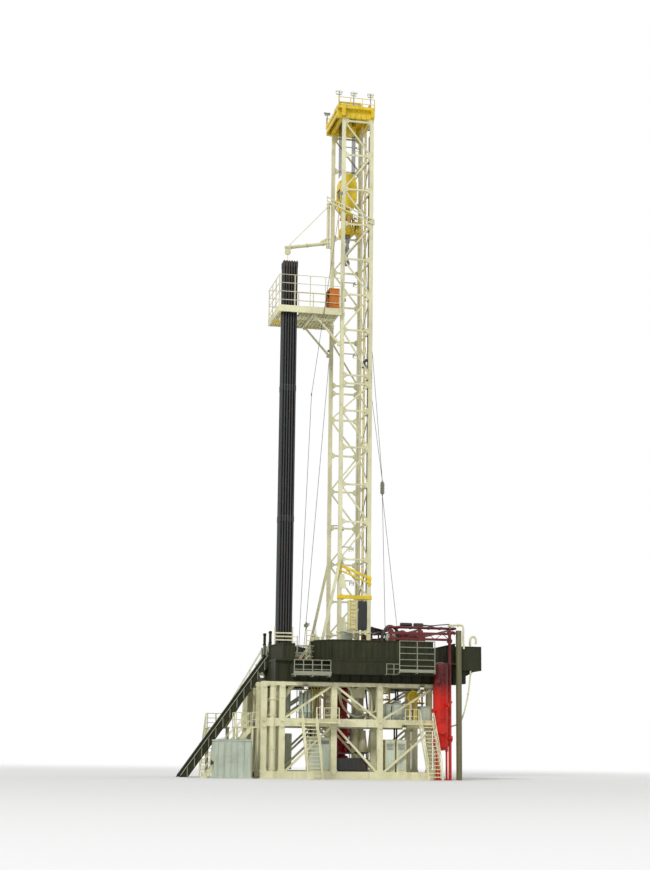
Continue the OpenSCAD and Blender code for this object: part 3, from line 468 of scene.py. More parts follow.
# %% Helpers for turned shapes and pipes
def band(inner, outer, low, high, closed=False):
    """The profile of a flat ring, for add_turned. It is open on the inside, or closed."""
    profile = [(inner, low), (outer, low), (outer, high), (inner, high)]
    return profile + profile[:1] if closed else profile


def spoke_at(share, upright=False):
    """The way of a spoke after a share of a full turn about Z, or about Y for an upright wheel."""
    a, b = math.cos(math.tau * share), math.sin(math.tau * share)
    return Vector((a, 0, b)) if upright else Vector((a, b, 0))


def add_turned(bm, centre, axis, profile, sides=24):
    """Turns a profile of radius and height pairs about an axis through the centre."""
    centre, axis = Vector(centre), Vector(axis).normalized()
    side = axis.orthogonal().normalized()
    verts = [bm.verts.new(centre + side * radius + axis * height) for radius, height in profile]
    edges = [bm.edges.new(pair) for pair in zip(verts, verts[1:])]
    bmesh.ops.spin(bm, geom=verts + edges, cent=centre, axis=axis, angle=math.tau, steps=sides,
                   use_merge=True)
    for radius, height in (profile[0], profile[-1]):
        if radius == 0:
            pole = centre + axis * height
            tip = [vert for vert in bm.verts if (vert.co - pole).length < 1e-4]
            bmesh.ops.remove_doubles(bm, verts=tip, dist=1e-3)


def add_pipe(bm, points, radius, sides=8):
    """A bent pipe. A circle is extruded from each point to the next and turned with the way."""
    points = [Vector(point) for point in points]
    ways = [(b - a).normalized() for a, b in zip(points, points[1:])]
    turns = [ways[0]] + [(a + b).normalized() for a, b in zip(ways, ways[1:])] + [ways[-1]]
    start = Matrix.Translation(points[0]) @ turns[0].to_track_quat("Z", "Y").to_matrix().to_4x4()
    ring = bmesh.ops.create_circle(bm, segments=sides, radius=radius, matrix=start)["verts"]
    edges = list({edge for vert in ring for edge in vert.link_edges})
    bmesh.ops.contextual_create(bm, geom=edges)
    for k in range(1, len(points)):
        made = bmesh.ops.extrude_edge_only(bm, edges=edges)["geom"]
        turn = turns[k - 1].rotation_difference(turns[k])
        for vert in (item for item in made if isinstance(item, bmesh.types.BMVert)):
            vert.co = points[k] + turn @ (vert.co - points[k - 1])
        edges = [item for item in made if isinstance(item, bmesh.types.BMEdge) and item.is_boundary]
    bmesh.ops.contextual_create(bm, geom=edges)


def curve(points, steps):
    """More points on a smooth curve through the points given."""
    points = [Vector(point) for point in points]
    padded = [2 * points[0] - points[1]] + points + [2 * points[-1] - points[-2]]
    way = []
    for a, b, c, d in zip(padded, padded[1:], padded[2:], padded[3:]):
        for k in range(steps):
            t = k / steps
            way.append(0.5 * (2 * b + (c - a) * t + (2 * a - 5 * b + 4 * c - d) * t ** 2
                              + (3 * b - a - 3 * c + d) * t ** 3))
    return way + [points[-1]]


def add_bend(bm, points, steps, radius, sides):
    """A pipe along a smooth curve, with a number of steps from each point to the next."""
    add_pipe(bm, curve(points, steps), radius, sides)

# %% Helpers for plates, gratings and pieces
def add_plate(bm, outline, y, thick):
    """An upright plate with its outline in X and Z, made by extruding the face."""
    verts = [bm.verts.new((x, y - thick / 2, z)) for x, z in outline]
    face = bmesh.ops.contextual_create(bm, geom=verts)["faces"]
    grown = bmesh.ops.extrude_face_region(bm, geom=face)["geom"]
    moved = [item for item in grown if isinstance(item, bmesh.types.BMVert)]
    bmesh.ops.translate(bm, vec=(0, thick, 0), verts=moved)


def add_bolts(bm, centre, axis, ring, count, size, proud=0.0):
    """A ring of bolt heads around an axis."""
    centre, axis = Vector(centre), Vector(axis).normalized()
    side = axis.orthogonal().normalized()
    for k in range(count):
        spoke = Matrix.Rotation(math.tau * (k + 0.5) / count, 3, axis) @ side
        add_disc(bm, centre + spoke * ring + axis * proud, axis, size, size, 6)


def add_grating(bm, low, high, z, pitch=0.05, bar=0.006, deep=0.03):
    """Flat bars on edge along Y, tied by rods along X. Z is their top."""
    (x0, x1), (y0, y1) = sorted((low[0], high[0])), sorted((low[1], high[1]))
    count, ties = max(2, round((x1 - x0) / pitch)), max(2, round((y1 - y0) / 0.2))
    for k in range(count + 1):
        x = x0 + (x1 - x0 - bar) * k / count
        add_box(bm, (x, y0, z - deep), (x + bar, y1, z))
    for k in range(ties + 1):
        y = y0 + (y1 - y0 - bar) * k / ties
        add_box(bm, (x0, y, z - deep * 0.5), (x1, y + bar, z - deep * 0.2))


def new_piece(name, bm, slot="cream_paint", body="root", paint=None):
    """Makes an object of the bmesh, with its faces outward. It rides on a body if one is given, and gets
    the paint of its slot unless another paint is given."""
    bmesh.ops.recalc_face_normals(bm, faces=bm.faces)
    mesh = bpy.data.meshes.new(name)
    bm.to_mesh(mesh)
    bm.free()
    mesh.materials.append(paint or paints[slot])
    piece = bpy.data.objects.new(name, mesh)
    bpy.context.scene.collection.objects.link(piece)
    if body:
        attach(piece, body)
    print(name, len(mesh.polygons), "faces")
    return piece

# %% Names for axes, sides and heights
# The axes, the signs of the two sides in Y, the height of the mid level and of the drill floor's top
X, Y, Z = Vector((1, 0, 0)), Vector((0, 1, 0)), Vector((0, 0, 1))
NEAR, FAR = -1, 1
MID_Z = 1.875
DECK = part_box("drill_floor")[1][2]
print("drill floor at", round(DECK, 3))

# %% [markdown]
# ## Wind walls
# The walls around the floor are sheets of ribbed steel between posts. A grid is folded into ribs by
# moving two columns out of four, and then it is given its thickness. Each wall stands where the plain
# solid of the frame is, and takes its place.

# %% Ribbed walls with posts and caps
def add_ribbed_sheet(bm, p, q, low, high, pitch=0.2, depth=0.014):
    p, q = Vector((*p, 0.0)), Vector((*q, 0.0))
    way = q - p
    columns = 4 * max(2, round(way.length / pitch))
    sheet = bmesh.ops.create_grid(bm, x_segments=columns, y_segments=1, size=0.5)["verts"]
    across = Vector((-way.y, way.x, 0.0)).normalized() * depth / 2
    for vert in sheet:
        share = vert.co.x + 0.5
        out = 1 if round(share * columns) % 4 in (1, 2) else -1
        height = low if vert.co.y < 0 else high
        vert.co = p + way * share + across * out + Vector((0.0, 0.0, height))
    faces = list({face for vert in sheet for face in vert.link_faces})
    bm.normal_update()
    bmesh.ops.solidify(bm, geom=faces, thickness=0.004)


def make_wall(name, node, runs, low, high):
    """A wall along each run of plan points, with square posts, a cap and a foot rail."""
    bm = bmesh.new()
    for p, q in runs:
        add_ribbed_sheet(bm, p, q, low + 0.03, high - 0.02)
        way = Vector(q) - Vector(p)
        for z, deep in ((low, 0.05), (high - 0.03, 0.03)):
            add_bar(bm, (*p, z + deep / 2), (*q, z + deep / 2), 0.055, deep)
        count = max(1, round(way.length))
        for k in range(count + 1):
            x, y = Vector(p) + way * (0.02 + 0.96 * k / count)
            add_post(bm, (x, y), 0.025, low, high)
    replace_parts(new_piece(name, bm, "olive_paint"), node)


WALL_TOP = DECK + 0.675
make_wall("wind_wall_sides", "side_walls", [((-0.9, 2.37 * s), (2.65, 2.37 * s)) for s in (NEAR, FAR)], DECK,
          WALL_TOP)
make_wall("wind_wall_slants", "front_walls", [((-0.875, 2.34 * s), (-1.44, 1.5 * s)) for s in (NEAR, FAR)],
          DECK, WALL_TOP)
make_wall("wind_wall_rear", "rear_wall", [((3.57, -1.87), (3.57, 1.87))], DECK, WALL_TOP)

# %% Setback walls and the posts beside the door opening
# The lower walls around the pipe stands, and the two posts beside the door opening.
bm = bmesh.new()
top = DECK + 0.54
for s in (NEAR, FAR):
    for p, q in (((-2.7, 0.6 * s), (-2.47, 1.94 * s)), ((-2.47, 1.97 * s), (-2.11, 1.97 * s))):
        add_ribbed_sheet(bm, p, q, DECK + 0.02, top - 0.02)
        add_bar(bm, (*p, top - 0.015), (*q, top - 0.015), 0.055, 0.03)
        add_bar(bm, (*p, DECK + 0.025), (*q, DECK + 0.025), 0.055, 0.05)
        for x, y in (p, q):
            add_post(bm, (x, y), 0.028, DECK, top)
    y = 0.555 * s
    add_box(bm, (-2.728, y - 0.04, DECK), (-2.64, y + 0.04, DECK + 1.03), 0.006)
    for z in (0.25, 0.6, 0.95):
        add_box(bm, (-2.74, y - 0.052, DECK + z), (-2.632, y + 0.052, DECK + z + 0.05))
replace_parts(new_piece("setback_wind_walls", bm, "olive_paint"), "setback_walls")

# %% [markdown]
# ## Floor girders and boxes
# Stiffeners stand on the girders' webs at even steps, and the trusses under them have gusset plates with
# bolts where their members meet. Pins join the upper boxes to the lower ones.

# %% Stiffeners, edge angles and bolts on the girders
bm = bmesh.new()
for s in (NEAR, FAR):
    for k in range(18):
        x = -2.66 + k * 0.36
        for y0, y1 in ((1.9, 1.975), (0.97, 1.045), (0.93, 0.855)):
            add_box(bm, (x, y0 * s, 3.24), (x + 0.012, y1 * s, 3.88))
    for k in range(10):
        x = -0.86 + k * 0.385
        add_box(bm, (x, 2.4 * s, 3.5), (x + 0.05, 2.412 * s, 3.9))
        add_bolts(bm, (x + 0.025, 2.412 * s, 3.7), (0, s, 0), 0.001, 1, 0.012)
    add_box(bm, (-0.92, 2.38 * s, 3.915), (2.67, 2.418 * s, 3.955))
    add_box(bm, (-0.92, 2.38 * s, 3.462), (2.67, 2.418 * s, 3.482))
    add_box(bm, (-2.74, 1.985 * s, 3.9), (-0.92, 2.01 * s, 3.957))
add_box(bm, (-2.745, -2.0, 3.88), (-2.73, 2.0, 3.957))
new_piece("girder_stiffeners", bm, "olive_paint")

# %% Gussets, pin plates, feet and collars of the boxes
COLUMNS = (-3.1, -2.48, -0.7, 0.9, 2.9)

# Gussets with bolts at every joint of the trusses
bm = bmesh.new()
for s in (NEAR, FAR):
    for y in (1.88, 0.95):
        for x in COLUMNS:
            for z, size in ((0.25, 0.13), (1.77, 0.11), (1.96, 0.11), (3.1, 0.11)):
                for face in (-1, 1):
                    out = s * y + face * 0.095
                    add_disc(bm, (x, out, z), Y, size, 0.012, 8)
                    add_bolts(bm, (x, out, z), (0, face, 0), size * 0.7, 6, 0.014, 0.01)
            # Pin plates across the seam between the lower and the upper box
            for dx in (-0.06, 0.06):
                add_post(bm, (x + dx, s * y), (0.012, 0.115), 1.77, 1.98)
            add_rod(bm, (x - 0.09, s * y, MID_Z), (x + 0.09, s * y, MID_Z), 0.03, 12)
        for x in (-3.1, 2.9):
            add_post(bm, (x, s * y), (0.16, 0.14), 0.0, 0.03)
    # Guides and collars of the round jacking columns
    for z in (0.3, 0.95, 1.7, 2.05, 2.6, 3.05):
        add_turned(bm, (-2.79, 1.88 * s, z), Z, band(0.112, 0.14, 0, 0.04), 20)
new_piece("truss_gussets", bm)

# %% [markdown]
# ## Decks that one can see through
# The walkways and platforms are gratings: flat bars on edge with a tie at every few. They replace the
# plain plates of the frame where a plate would look solid from below, and lie on top elsewhere.

# %% Gratings and toe boards
bm = bmesh.new()
for s in (NEAR, FAR):
    low, high = sorted((1.042 * s, 1.768 * s))
    for x0, x1 in ((-3.03, -2.59), (-2.37, -0.81), (-0.59, 0.79), (1.01, 2.79)):
        if s == FAR or x0 > -3:
            add_grating(bm, (x0, low), (x1, high), MID_Z, 0.06)
            for y in (low, high - 0.012):
                add_box(bm, (x0, y, 1.845), (x1, y + 0.012, 1.925))
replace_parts(new_piece("mid_gratings", bm, "deck_steel"), "mid_decks")

# %% [markdown]
# ## The mast
# Each joint of the lattice gets its gusset plates. The two sections meet in pinned plates, a ladder
# climbs the back, and service lines run up beside it on clamps.

# %% Gussets, section pins and feet
LEG_X, LEG_Y = (-0.325, 0.725), 0.9
LEVELS = (5.0, 6.2, 7.535, 8.87, 10.205, 11.54, 12.875, 13.875, 14.175, 15.85, 17.185, 18.52, 19.855, 21.19,
          22.525, 23.85)
MAST_FOOT, MAST_JOINT, MAST_TOP = 4.97, 14.025, 23.95

bm = bmesh.new()
for s in (NEAR, FAR):
    for z in LEVELS:
        for x, inward in ((LEG_X[0], 1), (LEG_X[1], -1)):
            for face in (-1, 1):
                out = s * LEG_Y + face * 0.036
                add_disc(bm, (x + inward * 0.075, out, z), Y, 0.12, 0.01, 6)
            add_bolts(bm, (x + inward * 0.09, s * (LEG_Y + 0.042), z), (0, s, 0), 0.07, 5, 0.011)
        # Plates towards the back face
        add_box(bm, (0.7, s * 0.835, z - 0.09), (0.71, s * 0.7, z + 0.09))
    for x in LEG_X:
        # Section joint: doubled plates, two pins and their keepers
        for face in (-1, 1):
            y = s * LEG_Y + face * 0.073
            add_post(bm, (x, y), (0.055, 0.008), MAST_JOINT - 0.3, MAST_JOINT + 0.3, 0.004)
            for z in (-0.2, -0.08, 0.08, 0.2):
                add_disc(bm, (x, y + face * 0.014, MAST_JOINT + z), Y, 0.024, 0.014, 10)
        # Foot: a flange with bolts, a pin and a base plate
        y = s * LEG_Y
        add_post(bm, (x, y), 0.085, MAST_FOOT - 0.015, MAST_FOOT + 0.015, 0.004)
        add_bolts(bm, (x, y, MAST_FOOT + 0.02), Z, 0.1, 4, 0.014)
        add_rod(bm, (x, y - 0.13, DECK + 0.1), (x, y + 0.13, DECK + 0.1), 0.035, 12)
        add_post(bm, (x, y), 0.16, DECK, DECK + 0.02)
new_piece("mast_gussets", bm)

# %% The mast's ladder
bm = bmesh.new()
x = LEG_X[1] + 0.07
for y in (0.3, 0.5):
    add_box(bm, (x, y - 0.01, DECK + 0.1), (x + 0.03, y + 0.01, MAST_TOP + 0.4))
for k in range(int((MAST_TOP + 0.3 - DECK) / 0.15)):
    z = DECK + 0.2 + 0.15 * k
    add_rod(bm, (x + 0.015, 0.3, z), (x + 0.015, 0.5, z), 0.009, 6)
for z in LEVELS:
    for y in (0.3, 0.5):
        add_box(bm, (0.74, y - 0.008, z - 0.012), (x + 0.01, y + 0.008, z + 0.012))
new_piece("mast_ladder", bm, "yellow_paint")

# %% Service lines with their clamps
bm = bmesh.new()
for y, radius in ((-0.2, 0.02), (-0.26, 0.02), (-0.32, 0.028)):
    add_rod(bm, (0.8, y, DECK), (0.8, y, MAST_TOP - 0.4), radius, 8)
for z in LEVELS:
    add_box(bm, (0.74, -0.36, z - 0.02), (0.775, -0.16, z + 0.02))
    add_box(bm, (0.775, -0.36, z - 0.012), (0.835, -0.16, z + 0.012), 0.004)
new_piece("mast_service_lines", bm, "pipe_steel", paint=rubber)

# %% A floodlight
def add_lamp(lamp, glass, place, way, size=0.11):
    """A floodlight: a finned housing, a hood, a bracket and a bright front. Way points where it shines."""
    place, way = Vector(place), Vector(way).normalized()
    side = Vector((way.y, -way.x, 0.0)).normalized() if abs(way.z) < 0.95 else Vector((1.0, 0.0, 0.0))
    rise = side.cross(way).normalized()
    turn = Matrix.Translation(place) @ Matrix((side, rise, -way)).transposed().to_4x4()

    def add_part(bm, centre, scale, bevel=0.0):
        """A box in the lamp's own axes. All its numbers are shares of the lamp's size."""
        middle = Matrix.Translation([size * value for value in centre])
        add_cube(bm, turn @ middle, [size * value for value in scale], size * bevel)

    add_part(lamp, (0, 0, 0), (1, 0.7, 0.4), 0.06)
    for k in range(-2, 3):
        add_part(lamp, (k * 0.2, 0, 0.28), (0.05, 0.62, 0.2))
    add_part(lamp, (0, 0.4, -0.2), (1.1, 0.05, 0.3))
    for k in (-1, 1):
        add_part(lamp, (k * 0.54, 0.3, 0), (0.05, 0.9, 0.12))
    add_part(lamp, (0, 0.74, 0), (1.13, 0.05, 0.12))
    add_part(glass, (0, 0, -0.2), (0.86, 0.56, 0.06), 0.02)


LAMPS = (  # place, and the way each lamp shines
    ((0.14, -0.98, 22.7), (0.1, -0.9, -0.5)),
    ((0.15, -0.98, 19.97), (0.1, -0.9, -0.5)), ((0.13, -0.98, 17.5), (0.1, -0.9, -0.5)),
    ((0.14, -0.98, 14.84), (0.1, -0.9, -0.5)), ((0.06, -0.98, 7.85), (0.0, -0.9, -0.5)),
    ((0.09, -0.98, 6.66), (-0.1, -0.9, -0.5)), ((0.15, 0.98, 17.5), (0.1, 0.9, -0.5)),
    ((0.15, 0.98, 8.85), (0.1, 0.9, -0.5)), ((-1.62, -1.56, 5.12), (0.5, 0.5, -0.6)),
    ((-3.18, -1.9, 3.36), (-0.5, -0.6, -0.6)), ((-1.69, -1.99, 3.02), (-0.1, -0.8, -0.6)),
    ((2.35, -1.99, 3.08), (0.1, -0.8, -0.6)), ((2.75, -1.99, 2.98), (0.4, -0.8, -0.6)),
    ((1.72, -1.99, 1.72), (0.1, -0.8, -0.6)), ((-1.7, 2.0, 3.05), (-0.1, 0.8, -0.6)),
    ((2.35, 2.0, 3.08), (0.1, 0.8, -0.6)), ((3.66, 1.0, 3.9), (0.8, 0.2, -0.6)),
)
lamp, glass = bmesh.new(), bmesh.new()
for place, way in LAMPS:
    add_lamp(lamp, glass, place, way, 0.15)
    x, y, z = place
    # A short arm back to the steel that carries the lamp
    inward = -0.1 if y > 0 else 0.1
    add_box(lamp, (x - 0.015, y, z + 0.1), (x + 0.015, y + inward, z + 0.13))
    if abs(x) < 0.3:
        # The lamps on the mast hang on a bar from the front leg
        add_bar(lamp, (LEG_X[0], y + inward * 0.8, z + 0.115), (x + 0.015, y + inward * 0.8, z + 0.115), 0.03,
                0.03)
# The lamp over the setback stands on a post
add_rod(lamp, (-1.6, -1.49, DECK), (-1.6, -1.49, 5.24), 0.018, 8)
new_piece("floodlights", lamp, "grey_green_paint")
new_piece("floodlight_glass", glass, "lamp_glass")

# %% The yellow beam, the collar under it and a short ladder
BEAM_X, BEAM_SLOPE = -0.46, 0.397

# The beam slopes across the near side, with a second bar and a collar under it
bm = bmesh.new()
y = -0.99
add_bar(bm, (BEAM_X, y, 7.36), (0.8, y, 6.86), 0.05, 0.09)
add_bar(bm, (BEAM_X, y, 7.18), (0.8, y, 6.68), 0.05, 0.05)
for k in range(5):
    x = -0.4 + k * 0.28
    z = 7.36 - (x - BEAM_X) * BEAM_SLOPE
    add_box(bm, (x, y - 0.02, z - 0.17), (x + 0.03, y + 0.02, z))
for x in LEG_X:
    z = 7.28 - (x - BEAM_X) * BEAM_SLOPE
    add_box(bm, (x - 0.05, -0.985, z - 0.2), (x + 0.05, -0.96, z + 0.16), 0.004)
add_box(bm, (-0.42, -0.985, 6.14), (0.82, -0.93, 6.28), 0.006)
# Ladder in front of the pale cabinet
for x in (0.04, 0.24):
    add_box(bm, (x, -0.99, 5.06), (x + 0.02, -0.972, 6.12))
for k in range(8):
    add_rod(bm, (0.05, -0.981, 5.12 + 0.135 * k), (0.25, -0.981, 5.12 + 0.135 * k), 0.009, 6)
new_piece("mast_yellow_parts", bm, "yellow_paint")

# %% The pale cabinet and the dark box over the walkway
bm = bmesh.new()
add_box(bm, (-0.02, -0.965, 5.06), (0.32, -0.82, 6.1), 0.012)
for k in range(3):
    add_box(bm, (0.0, -0.972, 5.1 + k * 0.33), (0.3, -0.964, 5.39 + k * 0.33), 0.003)
for x, z in ((-0.2, 5.0), (-0.24, 6.5)):
    add_plate(bm, [(x - 0.1, z), (x + 0.16, z), (x + 0.06, z + 0.5), (x - 0.06, z + 0.5)], -0.975, 0.02)
new_piece("mast_cabinet", bm)
bm = bmesh.new()
add_box(bm, (0.36, -0.975, 5.08), (0.64, -0.8, 6.08), 0.012)
for k in range(9):
    add_box(bm, (0.39, -0.985, 5.16 + 0.1 * k), (0.61, -0.972, 5.2 + 0.1 * k))
new_piece("mast_dark_box", bm, "pipe_steel")

# %% [markdown]
# ## The crown
# The sheaves are turned with a groove and a rim, and take the place of the plain discs. The platform
# gets toe boards, stiffeners and gratings, and pairs of lamps on posts.

# %% The crown's sheaves
SHEAVE_Z, SHEAVE_PITCH = 24.51, 0.13


def add_sheave(bm, centre, radius, wide, spokes=8):
    """A grooved wheel with a hub. Its axle runs along Y. The web has a ring of holes between spokes."""
    half = wide / 2
    add_turned(bm, centre, Y, [(radius - 0.05, -half), (radius, -half), (radius, -half * 0.8),
                               (radius - 0.028, -half * 0.25), (radius - 0.028, half * 0.25),
                               (radius, half * 0.8), (radius, half), (radius - 0.05, half),
                               (radius - 0.06, half * 0.4), (radius - 0.06, -half * 0.4),
                               (radius - 0.05, -half)], 40)
    add_turned(bm, centre, Y, [(0.055, -half), (0.09, -half), (0.1, -half * 0.8), (0.1, half * 0.8),
                               (0.09, half), (0.055, half), (0.055, -half)], 20)
    for k in range(spokes):
        way = spoke_at(k / spokes, upright=True)
        add_bar(bm, Vector(centre) + way * 0.09, Vector(centre) + way * (radius - 0.055), 0.045, wide * 0.4)


CROWN_Z = MAST_TOP + 0.35
bm = bmesh.new()
for k in range(5):
    add_sheave(bm, (0.0, (k - 2) * SHEAVE_PITCH, SHEAVE_Z), 0.26, 0.06)
add_rod(bm, (0, -0.389, SHEAVE_Z), (0, 0.389, SHEAVE_Z), 0.055, 20)
for y in (-0.4, 0.4):
    add_disc(bm, (0, y * 1.13, SHEAVE_Z), Y, 0.11, 0.05, 8)
    add_bolts(bm, (0, y * 1.2, SHEAVE_Z), (0, y, 0), 0.08, 8, 0.013)
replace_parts(new_piece("crown_wheels", bm, "bare_steel"), "crown_sheaves")

# %% Toe boards, stiffeners and the fast line's guide
bm = bmesh.new()
z = CROWN_Z
for x in (-0.596, 0.796):
    add_box(bm, (x - 0.004, -1.08, z), (x + 0.004, 1.08, z + 0.08))
for y in (-1.085, 1.085):
    add_box(bm, (-0.6, y - 0.004, z), (0.8, y + 0.004, z + 0.08))
# Stiffeners on the deep beams, plate edges and lifting eyes
for s in (NEAR, FAR):
    for k in range(7):
        x = -0.52 + k * 0.2
        for face in (-1, 1):
            y = s * 0.9 + face * 0.07
            add_post(bm, (x, y), (0.006, 0.03), MAST_TOP + 0.02, MAST_TOP + 0.33)
    for x in (-0.4, 0.4):
        add_box(bm, (x - 0.01, 0.45 * s, z), (x + 0.01, 0.6 * s, z + 0.38), 0.003)
    for x in (-0.3, 0.0, 0.3):
        y = 0.452 * s
        add_post(bm, (x, y), 0.012, z, MAST_TOP + 0.73)
    add_box(bm, (-0.42, 0.44 * s - 0.012, MAST_TOP + 0.7), (0.42, 0.44 * s + 0.012, MAST_TOP + 0.74))
# The box of the fast line's guide under the platform, and its hangers
add_box(bm, (-0.02, -0.36, MAST_TOP - 0.36), (0.26, -0.04, MAST_TOP - 0.06), 0.02)
for x in (0.02, 0.2):
    add_box(bm, (x, -0.3, MAST_TOP - 0.1), (x + 0.03, -0.1, MAST_TOP + 0.32))
new_piece("crown_details", bm, "yellow_paint")

# %% Gratings of the crown
bm = bmesh.new()
add_grating(bm, (-0.59, -1.07), (-0.34, 1.07), CROWN_Z + 0.012, deep=0.012)
add_grating(bm, (0.34, -1.07), (0.79, 1.07), CROWN_Z + 0.012, deep=0.012)
new_piece("crown_grating", bm, "deck_steel")

# %% Lamps of the crown
lamp, glass = bmesh.new(), bmesh.new()
z = CROWN_Z
for x, y in ((-0.56, -1.03), (0.0, -1.03), (0.64, -1.03), (-0.56, 1.03), (0.64, 1.03)):
    add_rod(lamp, (x, y, z), (x, y, z + 0.5), 0.02, 8)
    add_rod(lamp, (x - 0.1, y, z + 0.5), (x + 0.1, y, z + 0.5), 0.014, 8)
    add_disc(lamp, (x, y, z + 0.01), Z, 0.05, 0.02, 12)
    for dx in (-0.06, 0.06):
        add_lamp(lamp, glass, (x + dx, y, z + 0.57), (0.2 * dx, math.copysign(0.8, y), -0.6), 0.11)
    add_rod(lamp, (x, y, z + 0.5), (x, y, z + 0.64), 0.01, 6)
    add_turned(glass, (x, y, z + 0.6), Z, [(0, -0.02), (0.02, -0.02), (0.022, 0.02), (0.012, 0.036),
                                           (0, 0.04)], 12)
new_piece("crown_lamp_posts", lamp, "grey_green_paint")
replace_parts(new_piece("crown_lamp_glass", glass, "lamp_glass"), "crown_lamps")

# %% [markdown]
# ## The racking board
# The plain plate beside the mast gets a grating laid on it, the fingers get hinged latches, and the shelter
# for the derrickman is a frame with ribbed sheets.

# %% Latches of the fingers
BOARD_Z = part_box("racking_board")[1][2]
BOARD_X = (-2.69, -0.39)

bm = bmesh.new()
finger_x = -2.02 + 0.046
for s in (NEAR, FAR):
    for i in range(7):
        x = finger_x - i * 0.092
        add_box(bm, (x - 0.02, 0.24 * s, BOARD_Z - 0.012), (x + 0.02, 0.3 * s, BOARD_Z + 0.004), 0.003)
        for k in range(7):
            y = s * (0.36 + k * 0.092)
            add_rod(bm, (x, y, BOARD_Z - 0.01), (x, y, BOARD_Z + 0.014), 0.014, 8)
            add_box(bm, (x - 0.044, y - 0.006, BOARD_Z + 0.004), (x + 0.008, y + 0.006, BOARD_Z + 0.012))
new_piece("board_latches", bm, "yellow_paint")

# %% The frame under the board
bm = bmesh.new()
for s in (NEAR, FAR):
    y = s * 1.103
    for k in range(8):
        x = BOARD_X[0] + 0.12 + k * 0.29
        add_box(bm, (x - 0.006, y, BOARD_Z - 0.13), (x + 0.006, y - s * 0.035, BOARD_Z - 0.01))
    add_box(bm, (BOARD_X[0], s * 1.1, BOARD_Z), (BOARD_X[1], s * 1.092, BOARD_Z + 0.1))
    for x, z in ((BOARD_X[0] + 1.36, BOARD_Z - 0.16), (BOARD_X[1] - 0.03, BOARD_Z - 1.16)):
        add_box(bm, (x - 0.08, s * 0.9 - 0.045, z - 0.08), (x + 0.03, s * 0.9 + 0.045, z + 0.01), 0.004)
        add_rod(bm, (x - 0.02, s * 0.9 - 0.06, z - 0.04), (x - 0.02, s * 0.9 + 0.06, z - 0.04), 0.018, 10)
    # Clamps that hold the board on the mast's legs
    for z in (BOARD_Z - 0.1, BOARD_Z - 0.02):
        add_box(bm, (-0.41, s * 0.9 - 0.09, z - 0.02), (-0.24, s * 0.9 + 0.09, z + 0.02), 0.004)
# Joists and stringers under the plates, on each side of the cross beam at the braces' heads
for s in (NEAR, FAR):
    for x in (-1.8, -1.64, -1.5, -1.22, -1.08, -0.94, -0.8, -0.66, -0.52):
        add_box(bm, (x - 0.01, 0.24 * s, BOARD_Z - 0.1), (x + 0.01, 1.03 * s, BOARD_Z - 0.04))
    for y in (0.34, 0.5, 0.66, 0.82, 0.98):
        for x0, x1 in ((-1.84, -1.42), (-1.3, -0.42)):
            add_box(bm, (x0, y * s - 0.008, BOARD_Z - 0.085), (x1, y * s + 0.008, BOARD_Z - 0.04))
for x in (-2.5, -2.3, -2.1, -1.9, -1.64, -1.22, -0.94, -0.66):
    add_box(bm, (x - 0.012, -0.22, BOARD_Z - 0.09), (x + 0.012, 0.22, BOARD_Z - 0.06))
add_box(bm, (BOARD_X[0] - 0.004, -1.09, BOARD_Z), (BOARD_X[0] + 0.006, 1.09, BOARD_Z + 0.1))
new_piece("board_fittings", bm)

# %% Gratings of the board
bm = bmesh.new()
for s in (NEAR, FAR):
    add_grating(bm, (-1.84, 0.24 * s), (-0.4, 1.03 * s), BOARD_Z + 0.004, 0.05, deep=0.009)
add_grating(bm, (-2.62, -0.22), (-0.4, 0.22), BOARD_Z + 0.008, 0.05, deep=0.008)
new_piece("board_grating", bm, "deck_steel")

# %% The shelter
# It stands next to the mast on the near side
x0, x1, y0, y1, top = -0.81, -0.48, -1.04, -0.4, BOARD_Z + 0.85
bm = bmesh.new()
corners = ((x0, y0), (x1, y0), (x1, y1), (x0, y1))
sides = list(zip(corners, corners[1:] + corners[:1]))
for p, q in sides[:3]:
    add_ribbed_sheet(bm, p, q, BOARD_Z + 0.02, top - 0.02, 0.09, 0.016)
for x, y in corners:
    add_post(bm, (x, y), 0.018, BOARD_Z, top, 0.003)
for p, q in sides:
    for z in (BOARD_Z + 0.02, top - 0.02):
        add_bar(bm, (*p, z), (*q, z), 0.036, 0.036)
add_box(bm, (x0 - 0.03, y0 - 0.02, top - 0.01), (x1 + 0.02, y1 + 0.02, top + 0.006), 0.002)
for z in (BOARD_Z + 0.3, BOARD_Z + 0.5):
    add_rod(bm, (x0, y0, z), (x0, y1, z), 0.011, 8)
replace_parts(new_piece("board_cabin", bm, "yellow_paint", paint=orange_paint), "board_shelter")

# %% [markdown]
# ## The hoist
# The travelling block is two cheek plates around grooved sheaves, with side plates and a hook-up below.
# The top drive hangs from it by its links and runs on the track with rollers. The drilling lines stretch
# between the crown and the block. They have rings only at their ends, so they stay straight.

# %% The travelling block
BLOCK_LOW, BLOCK_TOP = 20.65, 22.0

bm = bmesh.new()
cheek = [(-0.2, BLOCK_LOW), (0.2, BLOCK_LOW), (0.31, BLOCK_LOW + 0.3), (0.32, BLOCK_LOW + 0.85),
         (0.24, BLOCK_TOP - 0.1), (0.12, BLOCK_TOP), (-0.12, BLOCK_TOP), (-0.24, BLOCK_TOP - 0.1),
         (-0.32, BLOCK_LOW + 0.85), (-0.31, BLOCK_LOW + 0.3)]
for y in (-0.33, -0.285, 0.285, 0.33):
    add_plate(bm, cheek, y, 0.03)
